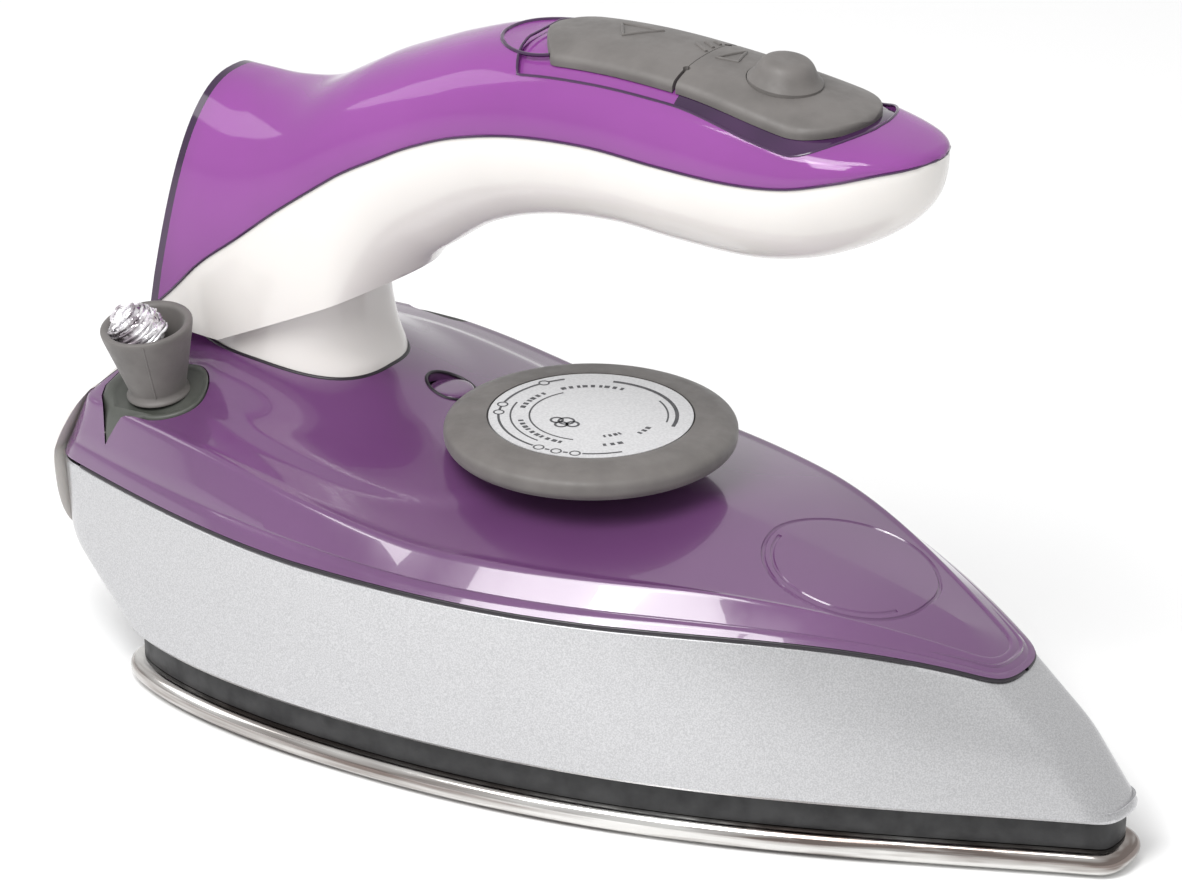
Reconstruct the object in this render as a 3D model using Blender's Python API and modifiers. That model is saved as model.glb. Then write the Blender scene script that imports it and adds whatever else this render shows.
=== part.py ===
"""Travel steam iron with a fold-down handle, built as separate sub-parts.

Frame: +X points at the nose, +Y to the iron's left, +Z up. The origin is on the sole's
underside, in the middle of the iron's box. Every length below is in millimetres and is
turned into metres once, where vertices are made.
"""
import math

import bmesh
import bpy
from mathutils import Matrix, Vector

MM = 0.001
GAP = 0.35               # clearance between pieces that meet
WALL = 1.8               # wall of the moulded covers

# --- body heights -------------------------------------------------------------------
SOLE_TOP = 4.2
CHAMBER_X = 29.0         # middle of the steam chamber
SKIRT_BOTTOM = 9.8
OVERHANG_Z = 21.0        # where the silver skirt's rear end turns upright
PARTING_Z = 36.3         # silver and purple meet here, dropping towards the nose
PARTING_GAP = 0.7        # half of the joint line between skirt and top cover
COVER_CROWN = 4.6        # how far the top cover bulges above its crease at the rear
MOUND_RISE = 2.4         # extra rise of the top cover round the pedestal

# --- plan outlines: nose, start of nose curve, widest point, start of rear corner, heel
# Each gives (x, y) pairs, and the length and angle of its curve handles.
SOLE_PLAN = dict(nose=99.9, shoulder=(95.6, 7.1), widest=(-31.2, 43.4), tail=(-73.2, 36.9),
                 heel=-81.4, handles=(56.9, 37.2, 8.0, 15.0), angles=(23.5, 24.0))
SKIRT_PLAN = dict(nose=99.4, shoulder=(95.2, 7.0), widest=(-31.2, 43.1), tail=(-73.2, 36.6),
                  heel=-81.0, handles=(56.9, 37.2, 8.0, 15.0), angles=(23.5, 24.0))
WAIST_PLAN = dict(nose=90.6, shoulder=(86.4, 8.2), widest=(-30.4, 42.4), tail=(-86.0, 36.2),
                  heel=-93.8, handles=(50.0, 44.0, 14.0, 22.0), angles=(25.0, 14.0))
PARTING_PLAN = dict(nose=80.2, shoulder=(75.6, 9.2), widest=(-29.0, 41.4), tail=(-90.5, 35.6),
                    heel=-97.0, handles=(44.0, 52.0, 20.0, 26.0), angles=(28.0, 8.0))
CREASE_PLAN = dict(nose=76.8, shoulder=(71.2, 7.4), widest=(-44.8, 38.5), tail=(-84.0, 32.4),
                   heel=-91.0, handles=(58.0, 37.6, 16.0, 13.0), angles=(25.0, 15.0))
BULGE_PLAN = dict(nose=80.2, shoulder=(75.6, 9.2), widest=(-29.0, 41.4), tail=(-93.6, 35.4),
                  heel=-100.8, handles=(44.0, 52.0, 20.0, 26.0), angles=(28.0, 7.0))
SHIELD_PLAN = dict(nose=90.0, shoulder=(85.0, 6.6), widest=(-31.2, 39.6), tail=(-70.0, 33.4),
                   heel=-77.4, handles=(52.0, 37.2, 7.0, 13.0), angles=(24.0, 24.0))
PLAN_STEPS = (4, 8, 4, 3, 2)   # nose, side, rear side, corner, heel

# --- rear cover ---------------------------------------------------------------------
REAR_SPLIT = ((-90.4, 20.6), (-90.8, 39.0), (-84.4, 52.0), (-84.4, 75.0))
HEEL_PLANE_X = -99.8     # heel facet at HEEL_PLANE_Z; the iron stands on its end on it
HEEL_PLANE_Z = 34.0
REAR_SCREW = (14.0, 37.0) # distance from the middle, height
HEEL_LEAN = 0.30         # forward lean of the heel facet, mm per mm of height

# --- dial and lamp --------------------------------------------------------------------
DIAL_X = -4.8
DIAL_RADIUS = 24.8
DIAL_BOTTOM = 50.9
DIAL_TOP = 55.2
LABEL_RADIUS = 17.3
SPINDLE_RADIUS = 3.0
LAMP_PLACE = (-36.8, 4.4)
LAMP_RADIUS = 4.4

# --- pedestal and fold hinge ----------------------------------------------------------
PEDESTAL_X = -64.4       # middle of the pedestal
PEDESTAL_HALF = (15.6, 12.9)
SPIGOT_HALF = (14.2, 12.0)
SPIGOT_LIFT = 2.4        # spigot of the pedestal ends this far above the handle's rim, inside it
JOINT_Z = 72.0           # slanted rim of the handle: height at JOINT_X
JOINT_X = -44.1
JOINT_SLOPE = 0.487
RIM_BOTTOM = 58.7        # behind FLAT_RIM_X the handle's rim runs level above the cover
FLAT_RIM_X = -71.4
HINGE_X = -66.5
HINGE_Z = 70.0
HINGE_PIN_RADIUS = 2.5
HINGE_BOSS_RADIUS = 5.4

# --- handle: stations along X with half width, bottom, parting and top heights ----------
HANDLE_STATIONS = (
    (-94.0, 12.8, 26.0, 54.0, 103.0), (-88.0, 13.6, 27.0, 59.5, 103.2), (-82.0, 14.2, 28.0, 65.0, 103.2),
    (-75.0, 15.0, 30.0, 72.0, 102.8), (-67.0, 15.6, 34.0, 78.2, 102.6), (-58.0, 16.0, 40.0, 85.4, 104.2),
    (-49.0, 16.1, 50.0, 92.0, 109.0), (-44.1, 16.0, 65.0, 95.4, 111.8), (-37.0, 15.9, 76.4, 99.4, 115.0),
    (-31.0, 15.7, 81.4, 102.6, 117.5), (-22.0, 15.5, 87.4, 106.2, 120.6), (-10.0, 15.5, 91.6, 109.0, 123.1),
    (4.0, 15.6, 93.4, 110.2, 124.0), (18.0, 15.9, 93.0, 109.8, 123.4), (31.0, 16.0, 93.2, 109.8, 122.0),
    (41.0, 15.4, 95.4, 110.8, 120.4), (49.0, 13.4, 98.9, 112.8, 118.8), (55.0, 10.0, 102.8, 114.4, 117.7),
    (58.4, 6.8, 106.2, 115.0, 117.0), (60.4, 3.4, 109.6, 115.4, 116.6))
RIM_X = -87.2            # rear face of the flare at RIM_Z
RIM_Z = 60.0
RIM_LEAN = 0.22
HANDLE_WALL = 2.0
HANDLE_SIDES = 8         # points from the parting round to the other side, each half
PANEL_REAR = -12.4       # silicone panel on top of the handle, with bowed ends
PANEL_SPLIT = 17.5
PANEL_FRONT = 48.2
PANEL_BOW = (6.5, 10.2)  # length of the bowed rear and front ends
PANEL_HALF = (11.9, 13.0)
PANEL_LIFT = 0.75        # underside of the panel above the tank's surface
PANEL_THICK = 1.3
FILL_X = 1.0             # middle of the filling hole
BUTTON_X = 32.4
BUTTON_RADIUS = 6.8

# --- cord entry -----------------------------------------------------------------------
GUARD_X = -76.8
GUARD_Y = -24.8
GUARD_HEIGHT = 13.8
GUARD_BASE_RADIUS = 6.2
GUARD_MOUTH_RADIUS = 8.1
GUARD_TILT = (9.0, 3.0)  # degrees: away from the handle, and back towards the heel
ENTRY_RADIUS = 8.4
ENTRY_BACK = -87.6

# --- fold release slide on the left shoulder -------------------------------------------
RELEASE_X = -60.8
RELEASE_Z = (42.0, 46.6)
RELEASE_HALF_LENGTH = 7.5


# =======================================================================================
# Scene and helpers
# =======================================================================================
def clear_scene():
    for obj in list(bpy.data.objects):
        bpy.data.objects.remove(obj, do_unlink=True)


clear_scene()
PARTS = bpy.data.collections.new("travel_steam_iron")
CUTTERS = bpy.data.collections.new("cutters")
for group in (PARTS, CUTTERS):
    bpy.context.scene.collection.children.link(group)


def make_material(name, color, roughness, metallic=0.0):
    material = bpy.data.materials.new(name)
    material.use_nodes = True
    shader = material.node_tree.nodes["Principled BSDF"]
    shader.inputs["Base Color"].default_value = (*color, 1.0)
    shader.inputs["Roughness"].default_value = roughness
    shader.inputs["Metallic"].default_value = metallic
    return material


CHROME = make_material("chrome_steel", (0.62, 0.61, 0.60), 0.12, 1.0)
SILVER = make_material("silver_paint", (0.55, 0.55, 0.56), 0.38, 0.6)
PURPLE = make_material("purple_tank", (0.28, 0.09, 0.36), 0.12)
PURPLE_DARK = make_material("purple_cover", (0.17, 0.08, 0.19), 0.15)
CREAM = make_material("cream_plastic", (0.74, 0.71, 0.67), 0.18)
GREY = make_material("grey_silicone", (0.13, 0.12, 0.11), 0.6)
DARK_RUBBER = make_material("dark_rubber", (0.05, 0.05, 0.045), 0.6)
BLACK = make_material("black_phenolic", (0.015, 0.015, 0.015), 0.5)
LABEL = make_material("dial_face", (0.72, 0.72, 0.72), 0.35, 0.3)
LENS = make_material("lamp_lens", (0.20, 0.09, 0.22), 0.1)
STEEL = make_material("zinc_steel", (0.55, 0.54, 0.52), 0.35, 1.0)
BRASS = make_material("brass", (0.60, 0.45, 0.18), 0.35, 1.0)
ALUMINIUM = make_material("cast_aluminium", (0.50, 0.50, 0.50), 0.5, 1.0)
CERAMIC = make_material("ceramic", (0.75, 0.73, 0.68), 0.5)
FOIL = make_material("bright_sleeve", (0.70, 0.69, 0.70), 0.2, 0.8)
WHITE_NYLON = make_material("white_nylon", (0.78, 0.78, 0.75), 0.45)


def add_object(name, mesh, material, collection=PARTS):
    obj = bpy.data.objects.new(name, mesh)
    collection.objects.link(obj)
    if material is not None:
        mesh.materials.append(material)
    return obj


def hide_cutter(obj):
    obj.hide_render = True
    obj.display_type = "WIRE"


def smooth(obj, angle=35.0):
    obj.data.shade_smooth()
    obj.data.set_sharp_from_angle(angle=math.radians(angle))
    return obj


def to_mesh(name, bm, flip=False):
    """Scale a bmesh from millimetres to metres and store it."""
    bmesh.ops.scale(bm, vec=(MM, MM, MM), verts=bm.verts)
    if flip:
        bmesh.ops.reverse_faces(bm, faces=bm.faces)
    mesh = bpy.data.meshes.new(name)
    bm.to_mesh(mesh)
    bm.free()
    return mesh


def loft_bmesh(rows, ring=False, caps=False):
    """Quads between rows of points; ring closes each row, caps close the first and last."""
    bm = bmesh.new()
    grid = [[bm.verts.new(point) for point in row] for row in rows]
    count = len(rows[0])
    for lower, upper in zip(grid, grid[1:]):
        for i in range(count if ring else count - 1):
            j = (i + 1) % count
            bm.faces.new((lower[i], lower[j], upper[j], upper[i]))
    if caps:
        bm.faces.new(list(reversed(grid[0])))
        bm.faces.new(grid[-1])
    bmesh.ops.remove_doubles(bm, verts=bm.verts, dist=0.01)
    return bm


def orient_outward(bm):
    bmesh.ops.recalc_face_normals(bm, faces=bm.faces)
    return bm


def mirrored(obj):
    mirror = obj.modifiers.new("Mirror", "MIRROR")
    mirror.use_axis = (False, True, False)
    mirror.use_clip = True
    mirror.merge_threshold = 0.0001
    return obj


def solidified(obj, thickness):
    shell = obj.modifiers.new("Solidify", "SOLIDIFY")
    shell.thickness = thickness * MM
    shell.offset = -1.0
    shell.use_even_offset = True
    return obj


def bevelled(obj, width, segments=2, angle=40.0):
    bevel = obj.modifiers.new("Bevel", "BEVEL")
    bevel.width = width * MM
    bevel.segments = segments
    bevel.limit_method = "ANGLE"
    bevel.angle_limit = math.radians(angle)
    return obj


def half_shell(name, rows, material, thickness):
    """Wall from the rows of the right half: mirrored, then thickened inwards."""
    obj = add_object(name, to_mesh(name, loft_bmesh(rows), flip=True), material)
    return solidified(mirrored(obj), thickness)


def boolean(obj, tool, operation="DIFFERENCE"):
    step = obj.modifiers.new("Boolean", "BOOLEAN")
    step.operation = operation
    step.object = tool
    step.solver = "EXACT"
    hide_cutter(tool)
    return obj


def prism(name, outline, bottom, top, material=None, collection=PARTS):
    """Flat outline of (x, y) points, standing from bottom to top."""
    rows = [[(x, y, z) for x, y in outline] for z in (bottom, top)]
    bm = orient_outward(loft_bmesh(rows, ring=True, caps=True))
    return add_object(name, to_mesh(name, bm), material, collection)


def side_prism(name, outline, half_width, material=None, collection=CUTTERS):
    """Outline of (x, z) points, extruded along Y to both sides."""
    rows = [[(x, y, z) for x, z in outline] for y in (-half_width, half_width)]
    bm = orient_outward(loft_bmesh(rows, ring=True, caps=True))
    return add_object(name, to_mesh(name, bm), material, collection)


def cylinder(name, start, end, radius, material=None, sides=20, collection=PARTS, end_radius=None):
    """Round bar, or a cone frustum, between two points."""
    start, end = Vector(start), Vector(end)
    bm = bmesh.new()
    bmesh.ops.create_cone(bm, cap_ends=True, segments=sides, radius1=radius,
                          radius2=radius if end_radius is None else end_radius,
                          depth=(end - start).length)
    turn = Vector((0, 0, 1)).rotation_difference(end - start).to_matrix().to_4x4()
    bmesh.ops.transform(bm, matrix=Matrix.Translation((start + end) / 2) @ turn, verts=bm.verts)
    return smooth(add_object(name, to_mesh(name, bm), material, collection))


def box(name, low, high, material=None, collection=PARTS, bevel=0.0):
    bm = bmesh.new()
    bmesh.ops.create_cube(bm, size=1.0)
    low, high = Vector(low), Vector(high)
    bmesh.ops.scale(bm, vec=high - low, verts=bm.verts)
    bmesh.ops.translate(bm, vec=(low + high) / 2, verts=bm.verts)
    obj = add_object(name, to_mesh(name, bm), material, collection)
    if bevel:
        bevelled(obj, bevel, 2)
    return obj


def turned(name, profile, centre, material, steps=28, tilt=(0.0, 0.0), collection=PARTS):
    """Closed or axis-to-axis profile of (radius, z), turned about a vertical axis."""
    bm = bmesh.new()
    verts = [bm.verts.new((radius, 0.0, z)) for radius, z in profile]
    for a, b in zip(verts, verts[1:]):
        bm.edges.new((a, b))
    obj = add_object(name, to_mesh(name, bm), material, collection)
    obj.location = Vector(centre) * MM
    obj.rotation_euler = (math.radians(tilt[0]), math.radians(-tilt[1]), 0.0)
    screw = obj.modifiers.new("Screw", "SCREW")
    screw.steps = steps
    screw.render_steps = steps
    screw.use_merge_vertices = True
    screw.merge_threshold = 0.00001
    screw.use_smooth_shade = True
    return obj


def tube(name, points, radius, material, closed=False, sides=2):
    """Round wire along points; a closed one is a ring."""
    curve = bpy.data.curves.new(name, "CURVE")
    curve.dimensions = "3D"
    curve.bevel_depth = radius * MM
    curve.bevel_resolution = sides
    curve.use_fill_caps = not closed
    spline = curve.splines.new("POLY")
    spline.points.add(len(points) - 1)
    for target, point in zip(spline.points, points):
        target.co = (*(Vector(point) * MM), 1.0)
    spline.use_cyclic_u = closed
    return add_object(name, curve, material)


def ellipse(centre, half_x, half_y, count=24, power=2.0):
    points = []
    for i in range(count):
        angle = 2 * math.pi * i / count
        c, s = math.cos(angle), math.sin(angle)
        points.append((centre[0] + half_x * math.copysign(abs(c) ** (2 / power), c),
                       centre[1] + half_y * math.copysign(abs(s) ** (2 / power), s)))
    return points


def ease(t):
    t = min(max(t, 0.0), 1.0)
    return t * t * (3 - 2 * t)


def bezier(p0, p1, p2, p3, steps):
    points = []
    for i in range(steps):
        t = i / steps
        k = (1 - t) ** 3, 3 * (1 - t) ** 2 * t, 3 * (1 - t) * t * t, t ** 3
        points.append(tuple(sum(w * p[a] for w, p in zip(k, (p0, p1, p2, p3))) for a in (0, 1)))
    return points


# =======================================================================================
# Body surface
# =======================================================================================
def plan_half(plan, inset=0.0):
    """Right half of an outline, from the nose to the heel, y <= 0, moved in by inset."""
    shoulder, widest, tail = plan["shoulder"], plan["widest"], plan["tail"]
    reach_w, reach_s, reach_r, reach_t = plan["handles"]
    slope, rear = (math.radians(a) for a in plan["angles"])
    nose, heel = plan["nose"], plan["heel"]
    corner = (heel + 1.2, tail[1] - 8.0)
    curves = (
        ((nose, 0.0), (nose, shoulder[1] * 0.62),
         (shoulder[0] + 3.4 * math.cos(slope), shoulder[1] - 3.4 * math.sin(slope)), shoulder),
        (shoulder, (shoulder[0] - reach_s * math.cos(slope), shoulder[1] + reach_s * math.sin(slope)),
         (widest[0] + reach_w, widest[1]), widest),
        (widest, (widest[0] - reach_r, widest[1]),
         (tail[0] + reach_t * math.cos(rear), tail[1] + reach_t * math.sin(rear)), tail),
        (tail, (tail[0] - 3.8 * math.cos(rear), tail[1] - 3.8 * math.sin(rear)),
         (corner[0] - 0.3, corner[1] + 4.0), corner),
        (corner, (heel + 0.4, corner[1] * 0.66), (heel, corner[1] * 0.33), (heel, 0.0)))
    points = []
    for curve, steps in zip(curves, PLAN_STEPS):
        points += bezier(*curve, steps)
    points.append((heel, 0.0))
    if inset:
        points = inset_half(points, inset)
    return [(x, -y) for x, y in points]


def inset_half(points, distance):
    """Move an open half outline inwards, keeping its ends on the middle line."""
    moved = []
    last = len(points) - 1
    for i, (x, y) in enumerate(points):
        before = points[i - 1] if i else (points[1][0], -points[1][1])
        after = points[i + 1] if i < last else (points[last - 1][0], -points[last - 1][1])
        along = Vector((after[0] - before[0], after[1] - before[1])).normalized()
        moved.append((x - along.y * distance, max(y + along.x * distance, 0.0)))
    return moved


def parting_height(x):
    return PARTING_Z - 6.5 * (max(x - 20.0, 0.0) / 60.0) ** 3


def crease_height(x):
    return parting_height(x) + 1.2 + 5.0 * ease((85.0 - x) / 60.0) + 7.0 * ease((-10.0 - x) / 62.0)


def cover_height(x, y, share):
    """Top cover height; share is 0 at the crease and 1 on the middle line."""
    crown = (1.2 + COVER_CROWN * ease((45.0 - x) / 50.0)) * (1.0 - (1.0 - share) ** 1.7)
    reach = math.hypot((x - PEDESTAL_X) / (PEDESTAL_HALF[0] + 2.0), y / (PEDESTAL_HALF[1] + 2.0))
    return crease_height(x) + crown + MOUND_RISE * ease(1.9 - reach)


def outline_full(half):
    """Whole outline from a right half whose ends lie on the middle line."""
    return half + [(x, -y) for x, y in reversed(half[1:-1])]


def level(plan, height, inset=0.0):
    half = plan_half(plan, inset)
    return [(x, y, height(x) if callable(height) else height) for x, y in half]


def blend_rows(first, second, share):
    return [tuple(a + (b - a) * share for a, b in zip(p, q)) for p, q in zip(first, second)]


def crown_rows(crease, shares=(0.25, 0.55, 0.8, 1.0)):
    """Rows from the crease in to the middle line, over the crowned top."""
    rows = []
    for share in shares:
        row = []
        for x, y, _ in crease:
            inner_x = x if x < 40.0 else x - (x - 40.0) * 0.25 * share
            inner_x = inner_x if inner_x > -80.0 else inner_x + (-80.0 - inner_x) * 0.2 * share
            inner_y = y * (1.0 - share)
            row.append((inner_x, inner_y, cover_height(inner_x, inner_y, share)))
        rows.append(row)
    return rows


def top_surface_z(x, y):
    """Height of the top cover at a point inside the crease."""
    half = plan_half(CREASE_PLAN)
    edge = min(half, key=lambda p: abs(p[0] - x))[1]
    share = 1.0 - min(abs(y / edge), 1.0) if edge else 1.0
    return cover_height(x, y, share)


def rear_split_cutter(name, shift):
    """Everything behind the joint between the covers and the rear cover."""
    line = [(x + shift, z) for x, z in REAR_SPLIT]
    line[0] = (line[0][0], line[0][1] - shift)
    return side_prism(name, line + [(-130.0, 75.0), (-130.0, line[0][1])], 60.0)


# =======================================================================================
# Sole, heating and frame
# =======================================================================================
def make_soleplate():
    sole = prism("soleplate", outline_full(plan_half(SOLE_PLAN)), 0.0, SOLE_TOP, CHROME)
    bevelled(sole, 1.2, 2, 50.0)
    for i in range(9):
        row, side = divmod(i, 2)
        x = 72.0 - 17.0 * row
        y = (4.0 + 3.2 * row) * (1 if side else -1) if i < 8 else 0.0
        hole = cylinder(f"steam_hole_cutter_{i}", (x, y, -2.0), (x, y, SOLE_TOP + 2.0), 1.4, None, 8,
                        CUTTERS)
        boolean(sole, hole)
    return smooth(sole)


def make_heating_element():
    reach = 29.0
    legs = [(-60.0, reach), (-30.0, reach), (10.0, 25.5), (44.0, 15.5)]
    bend = [(44.0 + 15.5 * math.sin(a), 15.5 * math.cos(a)) for a in
            (math.radians(d) for d in (22.5, 45.0, 67.5, 90.0, 112.5, 135.0, 157.5))]
    path = legs + bend + [(x, -y) for x, y in reversed(legs)]
    tube("heating_element", [(x, y, SOLE_TOP + GAP + 3.4) for x, y in path], 3.2, STEEL)
    for side, name in ((1, "left"), (-1, "right")):
        cylinder(f"element_terminal_{name}", (-60.0 - GAP, side * reach, SOLE_TOP + GAP + 3.4),
                 (-68.0, side * reach, SOLE_TOP + GAP + 3.4), 1.6, BRASS, 10)


def make_steam_chamber():
    chamber = ellipse((CHAMBER_X, 0.0), 22.0, 10.0, 28, 2.4)
    prism("steam_chamber", chamber, SOLE_TOP + GAP, 11.0, ALUMINIUM)
    lid = prism("steam_chamber_lid", ellipse((CHAMBER_X, 0.0), 22.8, 10.8, 28, 2.4), 11.0 + GAP, 12.6,
                STEEL)
    for i, (x, y) in enumerate(((CHAMBER_X - 16.0, 0.0), (CHAMBER_X + 16.0, 0.0))):
        boolean(lid, cylinder(f"lid_screw_hole_{i}", (x, y, 9.0), (x, y, 15.0), 2.0, None, 12, CUTTERS))
        screw = cylinder(f"chamber_screw_{i + 1}", (x, y, 11.0 + GAP), (x, y, 14.0), 1.6, STEEL, 12)
        head = cylinder(f"chamber_screw_head_{i}", (x, y, 13.0), (x, y, 15.2), 3.0, None, 12, CUTTERS)
        boolean(screw, head, "UNION")
    nozzle = turned("dripper_valve", [(0.0, 22.0), (2.2, 22.0), (2.2, 18.0), (4.0, 17.5), (4.0, 12.6 + GAP),
                                      (0.0, 12.6 + GAP)], (CHAMBER_X - 3.0, 0.0, 0.0), BRASS, 16)
    return nozzle


def make_heat_shield():
    """Black tray, open below, that stands on the sole and carries the housings."""
    foot = level(SHIELD_PLAN, SOLE_TOP + GAP)
    rows = [foot, [(x * 0.985, y * 0.97, 17.5) for x, y, _ in foot],
            [(x * 0.95, y * 0.9, 19.5) for x, y, _ in foot]]
    top = rows[-1]
    rows += [[(x, y * (1.0 - s), 19.5) for x, y, _ in top] for s in (0.5, 1.0)]
    shield = half_shell("heat_shield", rows, BLACK, 1.6)
    for i, (x, radius) in enumerate(((DIAL_X, 8.0), (CHAMBER_X - 3.0, 5.0), (-36.0, 6.0))):
        boolean(shield, cylinder(f"shield_hole_{i}", (x, 0, 14.0), (x, 0, 24.0), radius, None, 16, CUTTERS))
    return smooth(shield)


def make_thermostat():
    """Thermostat on the sole under the dial, with its bimetal blade."""
    box("thermostat_body", (DIAL_X - 9.0, -7.0, SOLE_TOP + GAP), (DIAL_X + 9.0, 7.0, 12.6), CERAMIC,
        bevel=0.5)
    nut = cylinder("thermostat_nut", (DIAL_X, 0, 13.0), (DIAL_X, 0, 17.0), 5.5, BRASS, 6)
    boolean(nut, cylinder("thermostat_bore", (DIAL_X, 0, 10.0), (DIAL_X, 0, 20.0), SPINDLE_RADIUS + GAP,
                          None, 16,
                          CUTTERS))
    box("thermostat_blade", (DIAL_X - 16.0, -3.0, 13.2), (DIAL_X - 6.6, 3.0, 13.8), STEEL)
    cylinder("thermal_fuse", (-46.0, -12.0, 9.0), (-46.0, 12.0, 9.0), 2.4, CERAMIC, 14)


# =======================================================================================
# Housing, covers and seals
# =======================================================================================
def make_lower_housing():
    bottom = level(SKIRT_PLAN, SKIRT_BOTTOM)
    waist = level(WAIST_PLAN, OVERHANG_Z)
    top = level(PARTING_PLAN, lambda x: parting_height(x) - PARTING_GAP)
    rows = [bottom, blend_rows(bottom, waist, 0.5), waist, blend_rows(waist, top, 0.5), top]
    housing = half_shell("lower_housing", rows, SILVER, WALL)
    boolean(housing, rear_split_cutter("housing_rear_cutter", 0.0))
    return smooth(housing)


def make_top_cover():
    edge = level(PARTING_PLAN, lambda x: parting_height(x) + PARTING_GAP + 0.8 * ease((x - 45.0) / 25.0))
    crease = level(CREASE_PLAN, crease_height)
    rows = [edge, crease] + crown_rows(crease)
    cover = half_shell("top_cover", rows, PURPLE_DARK, WALL)
    boolean(cover, rear_split_cutter("cover_rear_cutter", 0.0))
    tools = (
        cylinder("spindle_hole", (DIAL_X, 0, 30.0), (DIAL_X, 0, 60.0), SPINDLE_RADIUS + GAP, None, 16,
                 CUTTERS),
        prism("lamp_hole", ellipse(LAMP_PLACE, LAMP_RADIUS, LAMP_RADIUS), 30.0, 60.0, None, CUTTERS),
        prism("pedestal_hole", ellipse((PEDESTAL_X, 0.0), PEDESTAL_HALF[0] + 2.4, PEDESTAL_HALF[1] + 2.4,
                                       28, 2.5),
              30.0, 70.0, None, CUTTERS),
        prism("entry_hole", entry_outline(GAP), 30.0, 70.0, None, CUTTERS),
        box("release_hole", (RELEASE_X - RELEASE_HALF_LENGTH, 34.0, RELEASE_Z[0] - 0.5),
            (RELEASE_X + RELEASE_HALF_LENGTH, 46.0, 54.0), None, CUTTERS))
    for tool in tools:
        boolean(cover, tool)
    return smooth(cover)


def make_cover_gasket():
    """Black sealing bead in the joint line between skirt and top cover."""
    half = [(x, y, z - 0.36 - 0.24 * ease((x - 45.0) / 25.0))
            for x, y, z in level(PARTING_PLAN, parting_height, 0.3) if x > -89.4]
    loop = half + [(x, -y, z) for x, y, z in reversed(half[1:])]
    return tube("cover_gasket", loop, 0.22, DARK_RUBBER, sides=1)


def make_rear_cover():
    low = level(WAIST_PLAN, OVERHANG_Z)
    bulge = level(BULGE_PLAN, 35.0)
    belly = [(x - 2.0 if x < -86.0 else x, y, z) for x, y, z in blend_rows(low, bulge, 0.5)]
    crease = level(CREASE_PLAN, crease_height)
    shoulder = [(x - 1.6 if x < -80.0 else x, y, z) for x, y, z in blend_rows(bulge, crease, 0.6)]
    rows = [low, belly, bulge, shoulder, crease] + crown_rows(crease, (0.2, 0.5, 1.0))
    cover = half_shell("rear_cover", rows, CREAM, WALL)
    boolean(cover, rear_split_cutter("rear_cover_limit", -GAP), "INTERSECT")
    lean = [(HEEL_PLANE_X + HEEL_LEAN * (z - HEEL_PLANE_Z), z) for z in (0.0, 120.0)]
    boolean(cover, side_prism("heel_plane_cutter", lean + [(-140.0, 120.0), (-140.0, 0.0)], 60.0))
    boolean(cover, prism("rear_entry_hole", entry_outline(GAP), 40.0, 70.0, None, CUTTERS))
    boolean(cover, prism("rear_pedestal_hole",
                         ellipse((PEDESTAL_X, 0.0), PEDESTAL_HALF[0] + 3.4, PEDESTAL_HALF[1] + 3.4, 28,
                                 2.5),
                         40.0, 70.0, None, CUTTERS))
    for side, name in ((1, "left"), (-1, "right")):
        y, z = side * REAR_SCREW[0], REAR_SCREW[1]
        hole = cylinder(f"rear_screw_hole_{name}", (-120.0, y, z), (-80.0, y, z), 2.6, None, 16, CUTTERS)
        boolean(cover, hole)
        cylinder(f"rear_cover_screw_{name}", (-97.4, y, z), (-82.0, y, z), 2.2, STEEL, 16)
    return smooth(cover)


# =======================================================================================
# Cord entry
# =======================================================================================
def entry_outline(margin=0.0):
    """Tongue-shaped plate: round towards the nose, straight back to the rear cover."""
    radius = ENTRY_RADIUS + margin
    back = ENTRY_BACK - margin
    round_end = [(GUARD_X + 1.8 + radius * math.cos(angle), GUARD_Y + radius * math.sin(angle))
                 for angle in (math.radians(-90.0 + 15.0 * i) for i in range(13))]
    corner = [(back, GUARD_Y - 1.0), (back + 1.2, GUARD_Y - radius + 3.6), (back + 4.4, GUARD_Y - radius)]
    return corner + round_end + [(back, GUARD_Y + radius)]


def make_cord_entry():
    plate_rows = []
    for offset in (-2.2, 0.25):
        plate_rows.append([(x, y, top_surface_z(x, y) + offset) for x, y in entry_outline()])
    bm = orient_outward(loft_bmesh(plate_rows, ring=True, caps=True))
    plate = add_object("cord_entry_plate", to_mesh("cord_entry_plate", bm), DARK_RUBBER)
    base_z = top_surface_z(GUARD_X, GUARD_Y)
    base, wall = GUARD_BASE_RADIUS, 1.5
    boolean(plate, turned("guard_seat_cutter", [(0.0, 20.0), (base + 0.35, 20.0), (base + 0.35, -20.0),
                                                (0.0, -20.0)],
                          (GUARD_X, GUARD_Y, base_z), None, 20, GUARD_TILT, CUTTERS))
    mouth, height = GUARD_MOUTH_RADIUS, GUARD_HEIGHT
    profile = [(mouth - wall, height), (mouth, height - 0.4), (base, 0.0), (base, -2.0), (base - 3.0, -2.0),
               (base - 3.0, 1.0), (base - wall, 2.0), (mouth - wall, height)]
    turned("cord_guard", profile, (GUARD_X, GUARD_Y, base_z), GREY, 24, GUARD_TILT)
    sleeve = [(0.0, 13.6), (3.4, 13.6), (4.6, 12.8), (4.6, 4.6), (3.6, 3.6), (0.0, 3.6)]
    turned("cord_sleeve", sleeve, (GUARD_X, GUARD_Y, base_z), FOIL, 18,
           (GUARD_TILT[0] - 1.0, GUARD_TILT[1] + 4.0))
    box("cord_clamp", (-82.0, -30.0, 38.0), (-70.0, -19.0, 41.0), WHITE_NYLON, bevel=0.8)
    box("terminal_block", (-60.0, -26.0, 24.0), (-40.0, -8.0, 33.0), WHITE_NYLON, bevel=0.8)


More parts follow.
